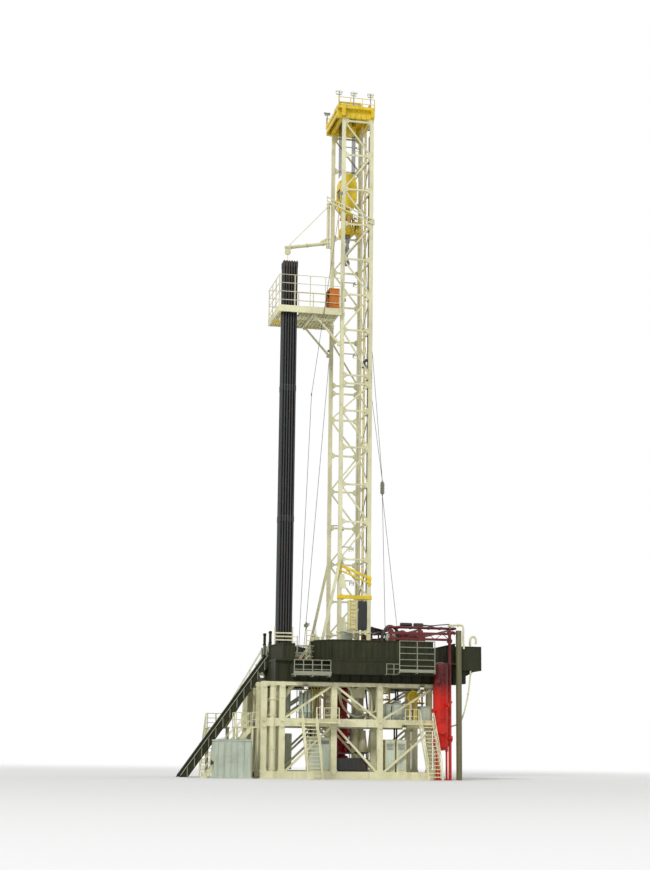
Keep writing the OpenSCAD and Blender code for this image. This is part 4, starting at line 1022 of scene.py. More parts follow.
# Covers around the sheaves leave their lower half open
for x in (-0.3, 0.3):
    add_box(bm, (x, -0.27, BLOCK_LOW + 0.8), (x * 1.06, 0.27, BLOCK_LOW + 1.08), 0.004)
add_box(bm, (-0.19, -0.27, BLOCK_LOW + 0.02), (0.19, 0.27, BLOCK_LOW + 0.24), 0.02)
add_box(bm, (-0.13, -0.29, BLOCK_TOP - 0.12), (0.13, 0.29, BLOCK_TOP - 0.03), 0.015)
for y in (-0.35, 0.35):
    for x, z, r in ((0.0, BLOCK_LOW + 0.72, 0.085), (-0.2, BLOCK_LOW + 0.4, 0.03),
                    (0.2, BLOCK_LOW + 0.4, 0.03), (-0.14, BLOCK_TOP - 0.13, 0.03),
                    (0.14, BLOCK_TOP - 0.13, 0.03)):
        add_disc(bm, (x, y * 0.99, z), Y, r, 0.03, 12)
    add_bolts(bm, (0.0, y, BLOCK_LOW + 0.72), (0, y, 0), 0.065, 8, 0.012, 0.008)
block = new_piece("block_cheeks", bm, "yellow_paint", "hoist")

# %% The block's sheaves
bm = bmesh.new()
for k in range(4):
    add_sheave(bm, (0.0, (k - 1.5) * 0.125, BLOCK_LOW + 0.72), 0.29, 0.07)
add_rod(bm, (0, -0.34, BLOCK_LOW + 0.72), (0, 0.34, BLOCK_LOW + 0.72), 0.055, 16)
add_turned(bm, (0, 0, BLOCK_LOW - 0.06), Z, [(0, 0), (0.12, 0), (0.14, 0.02), (0.14, 0.07), (0.1, 0.1),
                                             (0, 0.1)], 24)
new_piece("block_wheels", bm, "bare_steel", "hoist")
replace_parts(block, "travelling_block")

# %% The top drive
bm = bmesh.new()
# Gearbox, motor frame and the yoke that the block's hook carries
add_box(bm, (-0.24, -0.32, 19.68), (0.24, 0.32, 19.98), 0.03)
add_box(bm, (-0.2, -0.28, 20.34), (0.2, 0.28, 20.48), 0.02)
for y in (-0.39, 0.39):
    add_box(bm, (-0.05, y - 0.03, 19.72), (0.05, y + 0.03, 20.52), 0.01)
    add_rod(bm, (-0.07, y, 20.42), (0.07, y, 20.42), 0.05, 16)
    add_rod(bm, (-0.07, y, 19.8), (0.07, y, 19.8), 0.05, 16)
add_box(bm, (-0.06, -0.42, 20.46), (0.06, 0.42, 20.58), 0.015)
add_box(bm, (-0.1, -0.12, 20.5), (0.1, 0.12, 20.64), 0.02)
# Arm and carriage on the track
for z in (19.8, 20.16):
    add_box(bm, (0.2, -0.11, z), (0.47, 0.11, z + 0.09), 0.01)
add_bar(bm, (0.24, 0, 19.86), (0.44, 0, 20.2), 0.03, 0.16)
add_box(bm, (0.455, -0.22, 19.7), (0.485, 0.22, 20.3), 0.006)
for z in (19.78, 20.22):
    for y in (-0.225, 0.225):
        add_disc(bm, (0.49, y, z), Y, 0.035, 0.03, 16)
# Guard frame around the motors
for x in (-0.23, 0.23):
    for y in (-0.31, 0.31):
        add_rod(bm, (x, y, 19.96), (x, y, 20.4), 0.015, 8)
drive = new_piece("top_drive_frame", bm, "yellow_paint", "hoist")

# %% The top drive's motors
bm = bmesh.new()
for y in (-0.16, 0.16):
    add_turned(bm, (0, y, 19.98), Z, [(0, 0), (0.13, 0), (0.13, 0.3), (0.11, 0.34), (0.05, 0.36), (0, 0.36)],
               20)
    for k in range(12):
        way = spoke_at(k / 12)
        add_bar(bm, Vector((0, y, 20.02)) + way * 0.135, Vector((0, y, 20.26)) + way * 0.135, 0.012, 0.012)
new_piece("top_drive_motors", bm, "red_paint", "hoist")

# %% The top drive's pipe handler
bm = bmesh.new()
add_turned(bm, (0, 0, 18.9), Z, [(0, 0), (0.055, 0), (0.06, 0.1), (0.04, 0.12), (0.04, 0.22), (0.1, 0.24),
                                 (0.11, 0.36), (0.1, 0.5), (0.13, 0.52), (0.14, 0.64), (0.12, 0.68),
                                 (0.16, 0.7), (0.16, 0.79), (0, 0.79)], 28)
for z in (19.2, 19.46):
    add_bolts(bm, (0, 0, z), Z, 0.12, 12, 0.016)
# Links with eyes, and the elevator that they carry
for y in (-0.2, 0.2):
    add_rod(bm, (0, y, 18.66), (0, y, 19.6), 0.028, 12)
    for z in (18.66, 19.56):
        add_turned(bm, (0, y, z), X, [(0.035, -0.03), (0.07, -0.03), (0.08, 0), (0.07, 0.03), (0.035, 0.03),
                                      (0.035, -0.03)], 16)
add_turned(bm, (0, 0, 18.56), Z, [(0.045, 0), (0.13, 0), (0.14, 0.03), (0.14, 0.12), (0.12, 0.14),
                                  (0.05, 0.14), (0.045, 0.12), (0.045, 0)], 24)
add_box(bm, (-0.05, -0.24, 18.6), (0.05, -0.12, 18.7), 0.01)
add_box(bm, (-0.05, 0.12, 18.6), (0.05, 0.24, 18.7), 0.01)
add_rod(bm, (-0.14, 0.0, 18.57), (-0.14, 0.0, 18.69), 0.03, 10)
new_piece("top_drive_pipe_handler", bm, "bare_steel", "hoist")
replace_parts(drive, "top_drive")

# %% Bent pipes at the back of the top drive
bm = bmesh.new()
for y, x in ((-0.1, 0.27), (0.02, 0.29), (0.12, 0.27)):
    add_bend(bm, [(x, y, 20.4), (x + 0.06, y, 20.3), (x + 0.05, y, 20.0), (x - 0.03, y, 19.72)], 5, 0.016, 8)
add_bend(bm, [(0.0, 0.28, 20.55), (0.06, 0.3, 20.62), (0.2, 0.3, 20.6), (0.3, 0.3, 20.45), (0.3, 0.28, 20.2),
              (0.24, 0.25, 19.95)], 6, 0.028, 10)
new_piece("top_drive_pipes", bm, "bare_steel", "hoist", paint=rubber)

# %% The drilling lines
low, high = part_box("drilling_lines")
bm = bmesh.new()
for k in range(5):
    for s in (-1, 1):
        x, y = s * (0.26 - 0.012), (k - 2) * SHEAVE_PITCH
        add_rod(bm, (x, y, high[2]), (x, y, low[2]), 0.011, 8)
lines = new_piece("stretching_lines", bm, "wire_rope", None)
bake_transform(lines)
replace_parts(lines, "drilling_lines")

# %% [markdown]
# ## The jib
# A small crane beside the board. Its boom is a tube with flanges, its stay runs to the post's head, and a
# hook block hangs from the sheave at its tip.

# %% The jib's fittings
x, y, z = -0.5, 0.9, 19.65
tip = Vector((x - 1.6, y, z - 0.3))
bm = bmesh.new()
for share in (0.12, 0.5, 0.88):
    place = Vector((x, y, z)).lerp(tip, share)
    add_disc(bm, place, tip - Vector((x, y, z)), 0.085, 0.02, 20)
    add_bolts(bm, place, tip - Vector((x, y, z)), 0.074, 8, 0.01, 0.012)
for dz in (-0.12, -0.02, 0.16, 1.4):
    add_disc(bm, (x, y, z + dz), Z, 0.075, 0.03, 20)
add_plate(bm, [(x - 0.02, z + 0.03), (x - 0.02, z + 0.22), (x - 0.3, z + 0.05), (x - 0.3, z)], y, 0.014)
for dy in (-0.04, 0.04):
    add_plate(bm, [(tip.x - 0.05, tip.z + 0.06), (tip.x + 0.2, tip.z + 0.06), (tip.x + 0.13, tip.z - 0.26),
                   (tip.x + 0.01, tip.z - 0.26)], y + dy, 0.008)
add_rod(bm, (tip.x + 0.07, y - 0.06, tip.z - 0.17), (tip.x + 0.07, y + 0.06, tip.z - 0.17), 0.022, 12)
# Hook block
hook = Vector((tip.x + 0.07, y, tip.z - 0.72))
add_turned(bm, hook, Z, [(0, -0.01), (0.03, -0.01), (0.048, 0.02), (0.048, 0.1), (0.03, 0.13), (0, 0.14)], 16)
bend = ((0, 0, 0), (0, 0, -0.06), (0.05, 0, -0.1), (0.04, 0, -0.17), (-0.03, 0, -0.19), (-0.06, 0, -0.14))
add_bend(bm, [hook + Vector(step) for step in bend], 4, 0.012, 8)
new_piece("jib_fittings", bm, "cream_paint", "jib")

# %% [markdown]
# ## Machinery on the floor
# The winch is a grooved drum between two frames, with fans and motors at its back and a guard in
# front. Service pipes lie over it on a gantry, and a ribbed house hangs behind the floor.

# %% Rope on the drum
DRUM_X, DRUM_Z = 1.675, DECK + 0.48
bm = bmesh.new()
ripple = [(0.28, -0.7)]
for k in range(28):
    ripple += [(0.285, -0.69 + k * 0.0493), (0.302, -0.665 + k * 0.0493)]
add_turned(bm, (DRUM_X, 0, DRUM_Z), Y, ripple + [(0.28, 0.7)], 32)
new_piece("drum_rope", bm, "wire_rope")

# %% Frames, motors and guard of the winch
bm = bmesh.new()
for y in (-0.74, 0.74, 0):
    add_turned(bm, (DRUM_X, y, DRUM_Z), Y, band(0.2, 0.37, -0.02, 0.02, True), 32)
for s in (NEAR, FAR):
    # Side frames with covers, ribs and bolted bearings
    add_disc(bm, (DRUM_X, 0.9 * s, DRUM_Z), Y, 0.15, 0.05, 24)
    add_bolts(bm, (DRUM_X, 0.93 * s, DRUM_Z), (0, s, 0), 0.12, 10, 0.016)
    for k in range(6):
        add_box(bm, (1.15 + k * 0.21, 0.88 * s, DECK + 0.14), (1.17 + k * 0.21, 0.905 * s, DECK + 0.84))
    for dz in (0.12, 0.84):
        add_box(bm, (1.09, 0.76 * s, DECK + dz), (2.26, 0.91 * s, DECK + dz + 0.03), 0.006)
    # Motors with end bells and cooling fins, on the back of the winch
    add_turned(bm, (2.06, 0.38 * s, DECK + 1.03), (0, s, 0),
               [(0, -0.26), (0.1, -0.26), (0.15, -0.22), (0.15, 0.18), (0.12, 0.22), (0.12, 0.28),
                (0.05, 0.3), (0, 0.3)], 24)
    for k in range(10):
        add_turned(bm, (2.06, s * (0.18 + k * 0.036), DECK + 1.03), Y, band(0.14, 0.168, -0.005, 0.005, True),
                   20)
    add_box(bm, (1.93, 0.2 * s, DECK + 0.9), (2.19, 0.56 * s, DECK + 1), 0.01)
# Guard over the front with a folded top edge
for k in range(9):
    add_box(bm, (0.88, -0.75 + k * 0.185, DECK + 0.1), (0.91, -0.73 + k * 0.185, DECK + 1.24))
for zed in (0.1, 0.5, 0.88, 1.24):
    add_box(bm, (0.872, -0.76, DECK + zed), (0.918, 0.78, DECK + zed + 0.03), 0.004)
add_bar(bm, (0.9, 0, DECK + 1.25), (1.5, 0, DECK + 1.12), 1.5, 0.012)
add_box(bm, (0.897, -0.74, DECK + 0.9), (0.905, 0.75, DECK + 1.24))
for y in (-0.74, 0.74):
    add_bar(bm, (1.5, y, DECK + 1.11), (1.5, y, DECK + 0.84), 0.05, 0.03)
# Boxes on the skid: a gearbox, a brake rack and a tank at the rear
add_box(bm, (2.32, -0.7, DECK), (2.9, 0.3, DECK + 0.78), 0.03)
add_box(bm, (2.36, -0.66, DECK + 0.76), (2.86, 0.26, DECK + 1.02), 0.02)
for k in range(7):
    add_box(bm, (2.34 + k * 0.08, -0.715, DECK + 0.1), (2.36 + k * 0.08, -0.695, DECK + 0.7))
new_piece("winch_parts", bm, "maroon_paint")

# %% Arched pipes between the winch and the mast
bm = bmesh.new()
for y, r in ((-1.1, 0.045), (-1.25, 0.035)):
    add_bend(bm, [(1.15, y, DECK), (1.13, y, DECK + 0.75), (1.3, y, DECK + 1.2), (1.5, y, DECK + 1.26),
                  (1.72, y, DECK + 1), (1.76, y, DECK)], 5, r, 10)
new_piece("winch_pipes", bm, "pipe_steel", paint=rubber)

# %% A fan and pale boxes
bm = bmesh.new()
add_turned(bm, (1.45, -1.18, DECK + 0.86), Y, [(0, -0.1), (0.16, -0.1), (0.18, -0.08), (0.18, 0.08),
                                               (0.16, 0.1), (0, 0.1)], 24)
add_box(bm, (1.36, -1.26, DECK), (1.54, -1.1, DECK + 0.75), 0.012)
add_box(bm, (-0.06, 0.16, DECK + 0.04), (0.41, 0.56, DECK + 1.16), 0.02)
for k in range(3):
    add_box(bm, (-0.03, 0.15, DECK + 0.12 + k * 0.34), (0.38, 0.163, DECK + 0.4 + k * 0.34), 0.004)
add_box(bm, (-0.09, 0.13, DECK + 1.15), (0.44, 0.59, DECK + 1.18), 0.004)
new_piece("floor_boxes", bm, "pale_tank_paint")

# %% Clamps and braces of the gantry
GANTRY_TOP = DECK + 1.1

bm = bmesh.new()
for s in (NEAR, FAR):
    for k in range(3):
        y = s * (1.8 - k * 0.11)
        for x in (1.6, 2.05, 2.7, 3.1, 3.55):
            add_turned(bm, (x, y, GANTRY_TOP + 0.095), X, band(0.034, 0.05, -0.03, 0.03), 12)
        for x in (1.3, 2.35, 3.4):
            add_post(bm, (x, y), (0.02, 0.05), GANTRY_TOP + 0.055, GANTRY_TOP + 0.07)
            add_disc(bm, (x, y, GANTRY_TOP + 0.1), X, 0.043, 0.02, 12)
    for x in (1.3, 2.35, 3.4):
        for z in (GANTRY_TOP - 0.34, GANTRY_TOP - 0.06):
            add_disc(bm, (x, s * 1.8, z), Y, 0.1, 0.085, 6)
        add_post(bm, (x, s * 1.8), 0.07, DECK, DECK + 0.02)
        add_bolts(bm, (x, s * 1.8, DECK + 0.025), Z, 0.075, 4, 0.014)
    # Braces between the two rails
    for k in range(8):
        x0, up = 1.3 + k * 0.2625, k % 2
        add_bar(bm, (x0, s * 1.8, GANTRY_TOP - (0.1 if up else 0.3)),
                (x0 + 0.2625, s * 1.8, GANTRY_TOP - (0.3 if up else 0.1)), 0.02, 0.02)
new_piece("gantry_fittings", bm, "maroon_paint")

# %% Drums of the fluid lines
bm = bmesh.new()
for x0, x1, y in ((1.68, 2.1, -1.62), (2.16, 2.5, -1.62)):
    # Long drums of the fluid lines that lie over the pipes
    add_turned(bm, (x0, y, GANTRY_TOP + 0.2), X, [(0, 0), (0.05, 0), (0.065, 0.02), (0.065, x1 - x0 - 0.02),
                                                  (0.05, x1 - x0), (0, x1 - x0)], 16)
    for x in (x0 + 0.06, x1 - 0.06):
        add_post(bm, (x, y), (0.012, 0.06), GANTRY_TOP + 0.12, GANTRY_TOP + 0.17)
add_bend(bm, [(2.5, -1.62, GANTRY_TOP + 0.2), (2.8, -1.6, GANTRY_TOP + 0.19), (3.1, -1.62, GANTRY_TOP + 0.22),
              (3.45, -1.66, GANTRY_TOP + 0.25)], 5, 0.018, 8)
add_bend(bm, [(2, -1.72, GANTRY_TOP + 0.12), (2.6, -1.74, GANTRY_TOP + 0.17), (3.1, -1.74, GANTRY_TOP + 0.08),
              (3.4, -1.74, GANTRY_TOP + 0.1)], 5, 0.02, 8)
new_piece("gantry_drums", bm, "pipe_steel")

# %% White pipes and the gooseneck
bm = bmesh.new()
# White pipe that bends down beside the rear post
add_bend(bm, [(3.3, -1.95, GANTRY_TOP + 0.17), (3.6, -1.97, GANTRY_TOP + 0.2),
              (3.78, -1.98, GANTRY_TOP + 0.2), (3.84, -1.99, GANTRY_TOP + 0.08), (3.84, -2, GANTRY_TOP - 0.3),
              (3.84, -2.05, GANTRY_TOP - 0.62)], 6, 0.035, 12)
for x, z in ((3.36, GANTRY_TOP + 0.18), (3.66, GANTRY_TOP + 0.2)):
    add_disc(bm, (x, -1.965, z), (1, 0, 0.06), 0.055, 0.03, 14)
add_bar(bm, (3.4, -1.8, GANTRY_TOP + 0.06), (3.4, -1.99, GANTRY_TOP + 0.14), 0.03, 0.03)
# Gooseneck on the house
add_bend(bm, [(4.3, -1.3, 4.5), (4.3, -1.3, 4.78), (4.36, -1.3, 4.9), (4.44, -1.3, 4.92), (4.51, -1.3, 4.84),
              (4.51, -1.3, 4.66)], 5, 0.042, 12)
add_disc(bm, (4.3, -1.3, 4.55), Z, 0.075, 0.03, 16)
new_piece("white_pipes", bm)

# %% The house behind the floor
bm = bmesh.new()
x0, x1, y0, y1, z0, z1 = 3.605, 4.455, -1.995, -0.605, 3.7, 4.53
corners = ((x0, y0), (x1, y0), (x1, y1), (x0, y1))
for p, q in zip(corners, corners[1:] + corners[:1]):
    add_ribbed_sheet(bm, p, q, z0 + 0.02, z1 - 0.02, 0.16, 0.016)
for x, y in corners:
    add_post(bm, (x, y), 0.025, z0, z1, 0.004)
for z in (z0, z1 - 0.03):
    add_box(bm, (x0 - 0.02, y0 - 0.02, z), (x1 + 0.02, y1 + 0.02, z + 0.03), 0.004)
# Lower stretch, brackets and hinged doors
add_box(bm, (3.605, -1.89, 3.26), (3.945, -0.71, 3.69), 0.01)
for k in range(5):
    y = -1.85 + k * 0.275
    add_plate(bm, [(3.6, 3.7), (4.3, 3.7), (3.98, 3.52), (3.6, 3.42)], y, 0.02)
for k in range(2):
    y = -1.75 + k * 0.6
    add_box(bm, (4.46, y, 3.8), (4.478, y + 0.5, 4.42), 0.004)
    for z in (3.9, 4.3):
        add_rod(bm, (4.48, y, z - 0.03), (4.48, y, z + 0.03), 0.012, 8)
    add_rod(bm, (4.487, y + 0.44, 4.02), (4.487, y + 0.44, 4.18), 0.008, 6)
new_piece("house_sheets", bm, "olive_paint")

# %% The pipe from the house
bm = bmesh.new()
# A pale pipe goes from the house back to the girder on a stiff, clamped bend
add_bend(bm, [(4.1, -1.98, 3.7), (4.08, -2, 3.5), (4, -2, 2.9), (3.86, -2, 2.3), (3.7, -2, 1.95),
              (3.4, -1.98, 1.8), (3, -1.95, 1.78)], 5, 0.026, 10)
for place, way in (((4.09, -1.99, 3.58), (0.1, 0, 1)), ((3.4, -1.98, 1.8), (1, 0, 0.2)),
                   ((4, -2, 2.9), (0.2, 0, 1))):
    add_disc(bm, place, way, 0.04, 0.03, 12)
new_piece("house_pipe", bm)

# %% [markdown]
# ## Tanks and pressure gear
# The gas separator is a pressure vessel with domed ends, a man way and nozzles. The stack under the rotary
# table has bolted flanges, ram bonnets and side valves. Cabinets get doors, vents and handles.

# %% The gas separator
# The separator's red turns to a dark maroon above a height of 3: painted shade on its upper part, not a
# second paint.
separator_paint_shaded_above = worn("separator paint with painted shade", screen(204, 26, 14), 0.36, dirt_amount=0.2, rust_amount=0.2,
                       gloss=0.3, painted_shade_above=(3, screen(88, 18, 22)))


x, y, r = 2.95, -2.2428, 0.2625
bm = bmesh.new()
shell = [(0, 0.98), (0.1, 0.985), (0.19, 1.03), (0.245, 1.1), (r + 0.002, 1.19), (r + 0.002, 3.8),
         (0.245, 3.86), (0.19, 3.91), (0.1, 3.945), (0, 3.95)]
add_turned(bm, (x, y, 0), Z, shell, 40)
for z in (1.22, 2.05, 2.88, 3.72):
    add_turned(bm, (x, y, z), Z, band(r - 0.01, r + 0.018, 0, 0.05), 40)
# Man way with hinged lid, and flanged nozzles
for z, angle, size in ((1.7, -100, 0.12), (2.5, -60, 0.05), (3.3, -120, 0.06), (1.4, -20, 0.05),
                       (2.3, -150, 0.05)):
    way = spoke_at(angle / 360)
    start = Vector((x, y, z)) + way * (r - 0.02)
    add_rod(bm, start, start + way * 0.1, size, 20)
    add_disc(bm, start + way * 0.11, way, size * 1.45, 0.03, 20)
    add_disc(bm, start + way * 0.14, way, size * 1.45, 0.022, 20)
    add_bolts(bm, start + way * 0.155, way, size * 1.2, 10, 0.012)
for k in range(3):
    px, py, _ = Vector((x, y, 0)) + spoke_at(k / 3) * 0.2
    add_disc(bm, (px, py, 0.015), Z, 0.09, 0.03, 8)
    add_bolts(bm, (px, py, 0.035), Z, 0.065, 4, 0.014)
    add_post(bm, (px, py), (0.05, 0.01), 0.95, 1.2)
# Vent pipe flanges and the bend on its head
vent = x + r + 0.06
for z in (1.3, 2.6, 3.9):
    add_turned(bm, (vent, y, z), Z, band(0.054, 0.085, -0.03, 0.03), 20)
    add_bolts(bm, (vent, y, z + 0.033), Z, 0.07, 8, 0.012)
add_bend(bm, [(vent, y, 4.8), (vent, y, 4.88), (vent + 0.04, y, 4.95), (vent + 0.12, y, 4.97),
              (vent + 0.2, y, 4.93)], 4, 0.056, 16)
for z in (1.9, 3.1, 3.7):
    add_box(bm, (x + r - 0.01, y - 0.025, z), (vent, y + 0.025, z + 0.04))
# Ladder rungs on the near side
for k in range(14):
    z = 1.35 + k * 0.17
    add_rod(bm, (x - 0.1, y - r - 0.05, z), (x + 0.1, y - r - 0.05, z), 0.008, 6)
for dx in (-0.1, 0.1):
    add_rod(bm, (x + dx, y - r - 0.05, 1.25), (x + dx, y - r - 0.05, 3.7), 0.011, 8)
    for z in (1.4, 2.4, 3.5):
        add_bar(bm, (x + dx, y - r - 0.05, z), (x + dx, y - r + 0.04, z), 0.02, 0.02)
new_piece("separator_fittings", bm, "red_paint", paint=separator_paint_shaded_above)
# The frame's separator gets the same paint, with the same painted shade above.
frame["nodes"]["gas_separator"].data.materials[0] = separator_paint_shaded_above

# %% The blowout preventer
bm = bmesh.new()
for z, radius in ((0.3, 0.215), (0.7, 0.215), (1.15, 0.215), (1.3, 0.25), (1.9, 0.25), (2.1, 0.205),
                  (2.78, 0.24)):
    add_turned(bm, (0, 0, z), Z, band(0.1, radius + 0.03, -0.035, 0.035), 32)
    add_bolts(bm, (0, 0, z + 0.045), Z, radius, 16, 0.02)
    add_bolts(bm, (0, 0, z - 0.045), Z, radius, 16, 0.02)
add_turned(bm, (0, 0, 1.3), Z, [(0.242, 0), (0.25, 0.06), (0.28, 0.2), (0.28, 0.42), (0.25, 0.56),
                                (0.242, 0.62)], 36)
for z in (0.54, 0.98):
    for s in (NEAR, FAR):
        # Bonnets, their bolts, ram cylinders and hand wheels
        add_box(bm, (-0.24, s * 0.5, z - 0.15), (0.24, s * 0.56, z + 0.15), 0.015)
        add_bolts(bm, (0, s * 0.57, z), (0, s, 0), 0.13, 8, 0.02)
        add_turned(bm, (0, s * 0.56, z), (0, s, 0),
                   [(0, 0), (0.1, 0), (0.1, 0.22), (0.085, 0.25), (0.04, 0.26), (0.04, 0.34), (0, 0.34)], 24)
        add_turned(bm, (0, s * 0.92, z), (0, s, 0), band(0.075, 0.095, -0.01, 0.01, True), 20)
        for way in ((1, 1), (1, -1)):
            add_bar(bm, (way[0] * 0.08, s * 0.92, z + way[1] * 0.05),
                    (-way[0] * 0.08, s * 0.92, z - way[1] * 0.05), 0.012, 0.012)
new_piece("preventer_fittings", bm, "red_paint")

# %% Choke and kill lines
# Valves in a row with hand wheels, and the lines away to the mid level
bm = bmesh.new()
for s in (NEAR, FAR):
    add_rod(bm, (s * 0.14, 0, 0.9), (s * 0.95, 0, 0.9), 0.03, 12)
    for k in range(3):
        x = s * (0.38 + k * 0.2)
        add_turned(bm, (x, 0, 0.9), (s, 0, 0), [(0.03, -0.07), (0.065, -0.07), (0.065, -0.05), (0.055, -0.05),
                                                (0.055, 0.05), (0.065, 0.05), (0.065, 0.07), (0.03, 0.07)],
                   16)
        add_rod(bm, (x, 0, 0.9), (x, 0, 1.08), 0.02, 10)
        add_turned(bm, (x, 0, 1.09), Z, band(0.05, 0.065, -0.008, 0.008, True), 16)
        add_bar(bm, (x - 0.055, 0, 1.09), (x + 0.055, 0, 1.09), 0.01, 0.01)
    add_bend(bm, [(s * 0.95, 0, 0.9), (s * 1.05, 0, 0.95), (s * 1.08, 0, 1.1), (s * 1.08, 0.1, 1.6),
                  (s, 0.3, 2.4), (s * 0.95, 0.4, 3.2)], 5, 0.03, 10)
new_piece("choke_lines", bm, "pipe_steel")

# %% The mud vessel, the cabinets and the tank
bm = bmesh.new()
x, y = 1.665, -1.415
add_turned(bm, (x, y, MID_Z), Z, [(0.242, 0.03), (0.244, 0.56), (0.22, 0.62), (0.15, 0.68), (0.06, 0.71),
                                  (0, 0.715)], 36)
for z in (0.03, 0.3, 0.54):
    add_turned(bm, (x, y, MID_Z + z), Z, band(0.235, 0.262, -0.015, 0.015), 36)
add_disc(bm, (x, y, 2.62), Z, 0.1, 0.05, 20)
add_bolts(bm, (x, y, 2.65), Z, 0.08, 10, 0.014)
for angle in (-120, -60, 0):
    way = spoke_at(angle / 360)
    start = Vector((x, y, 2.05)) + way * 0.22
    add_rod(bm, start, start + way * 0.1, 0.04, 14)
    add_disc(bm, start + way * 0.1, way, 0.06, 0.03, 14)
# Cabinets against the outer skid beam: frames, doors, vents, handles and roofs
for x0, x1, top in ((-1.5, -0.77, 1.35), (1.13, 1.46, 1.3), (1.53, 1.86, 1.3)):
    y = -1.79
    add_box(bm, (x0 - 0.015, y - 0.01, top), (x1 + 0.015, -1.18, top + 0.03), 0.006)
    doors = 2 if x1 - x0 > 0.5 else 1
    for k in range(doors):
        a = x0 + 0.03 + k * (x1 - x0 - 0.03) / doors
        b = x0 + (k + 1) * (x1 - x0 - 0.03) / doors
        for face, out in ((y, -1), (-1.19, 1)):
            add_box(bm, (a, face + out * 0.002, 0.3), (b, face + out * 0.016, top - 0.05), 0.004)
            for z in (0.42, top - 0.17):
                add_rod(bm, (a + 0.01, face + out * 0.02, z - 0.03), (a + 0.01, face + out * 0.02, z + 0.03),
                        0.009, 6)
            add_box(bm, (b - 0.04, face + out * 0.016, 0.75), (b - 0.025, face + out * 0.03, 0.87), 0.002)
# The trip tank: ribs, rim, lid and a sight pipe
x0, x1, y0, y1 = -4.77, -3.6, -2.53, -1.73
for k in range(6):
    a = x0 + 0.04 + k * 0.215
    for face, out in ((y0, -1), (y1, 1)):
        add_box(bm, (a, face, 0.05), (a + 0.02, face + out * 0.03, 1.2))
for k in range(4):
    b = y0 + 0.05 + k * 0.227
    for face, out in ((x0, -1), (x1, 1)):
        add_box(bm, (face, b, 0.05), (face + out * 0.03, b + 0.02, 1.2))
for z in (0, 1.21):
    add_box(bm, (x0 - 0.035, y0 - 0.035, z), (x1 + 0.035, y1, z + 0.04), 0.004)
for k in range(3):
    a = x0 + 0.1 + k * 0.36
    add_box(bm, (a, y0 + 0.12, 1.25), (a + 0.28, y1 - 0.12, 1.275), 0.006)
    add_pipe(bm, [(a + 0.09, y0 + 0.2, 1.27), (a + 0.09, y0 + 0.2, 1.31), (a + 0.19, y0 + 0.2, 1.31),
                  (a + 0.19, y0 + 0.2, 1.27)], 0.008, 6)
new_piece("tank_and_cabinet_parts", bm, "pale_tank_paint")

# %% Dark vents and the tank's valve
bm = bmesh.new()
# Vents and windows of the cabinets are dark
for a, b, z0, z1 in ((-1.46, -1.17, 1.16, 1.28), (-1.1, -0.84, 1.16, 1.28), (1.17, 1.41, 1, 1.22),
                     (1.57, 1.81, 1, 1.22)):
    for k in range(5):
        z = z0 + (z1 - z0) * k / 5
        add_bar(bm, (a, -1.812, z), (b, -1.812, z), 0.012, 0.008)
add_rod(bm, (-4.86, -2.2, 0.5), (-4.76, -2.2, 0.5), 0.05, 14)
add_disc(bm, (-4.87, -2.2, 0.5), X, 0.085, 0.03, 16)
new_piece("vents_and_valves", bm, "pipe_steel")

# %% The blower
bm = bmesh.new()
x, y, z = 2.13, -1.55, 2.775
# A guard of rings and spokes, a motor behind it and seven blades
for k in range(5):
    radius = 0.04 + k * 0.033
    add_turned(bm, (x, y - 0.176, z), Y, band(radius, radius + 0.007, -0.004, 0.004, True), 24)
for k in range(8):
    way = spoke_at(k / 8, upright=True)
    add_bar(bm, Vector((x, y - 0.17, z)) + way * 0.02, Vector((x, y - 0.17, z)) + way * 0.175, 0.007, 0.007)
add_turned(bm, (x, y, z), Y, [(0, 0), (0.1, 0), (0.12, 0.03), (0.12, 0.2), (0.1, 0.23), (0, 0.23)], 20)
add_bolts(bm, (x, y - 0.182, z), (0, -1, 0), 0.193, 12, 0.012)
for k in range(7):
    way = spoke_at(k / 7, upright=True)
    side = Vector((-way.z, 0.5, way.x)).normalized() * 0.05
    centre = Vector((x, y - 0.1, z))
    add_bar(bm, centre + way * 0.05 - side * 0.3, centre + way * 0.15 + side * 0.3, 0.05, 0.008)
new_piece("blower_guard", bm, "yellow_paint")

# %% [markdown]
# ## Under the floor
# Between the boxes stand the lines, racks and bottles that serve the well. White pipes are bent in loops
# from the floor, a beam with round holes crosses at mid height, and pressure bottles stand in rows.

# %% Helpers for wheels and valves
def add_wheel(bm, centre, axis, radius):
    """A hand wheel: a rim and two spokes."""
    centre, axis = Vector(centre), Vector(axis).normalized()
    add_turned(bm, centre, axis, band(radius - 0.012, radius, -0.006, 0.006, True), 16)
    side = axis.orthogonal().normalized() * (radius - 0.006)
    for way in (side, axis.cross(side)):
        add_bar(bm, centre - way, centre + way, 0.01, 0.01)


def add_valve(bm, place, way, size=0.06):
    """A flanged gate valve on a pipe along the way, with its bonnet and hand wheel on top."""
    place = Vector(place)
    add_turned(bm, place, way, [(size * 0.5, -size * 1.3), (size, -size * 1.3), (size, -size),
                                (size * 0.8, -size), (size * 0.8, size), (size, size), (size, size * 1.3),
                                (size * 0.5, size * 1.3)], 14)
    add_rod(bm, place, place + Vector((0, 0, size * 2.6)), size * 0.42, 10)
    add_wheel(bm, place + Vector((0, 0, size * 2.7)), Z, size * 1.15)

# %% White loops, boxes and chutes
bm = bmesh.new()
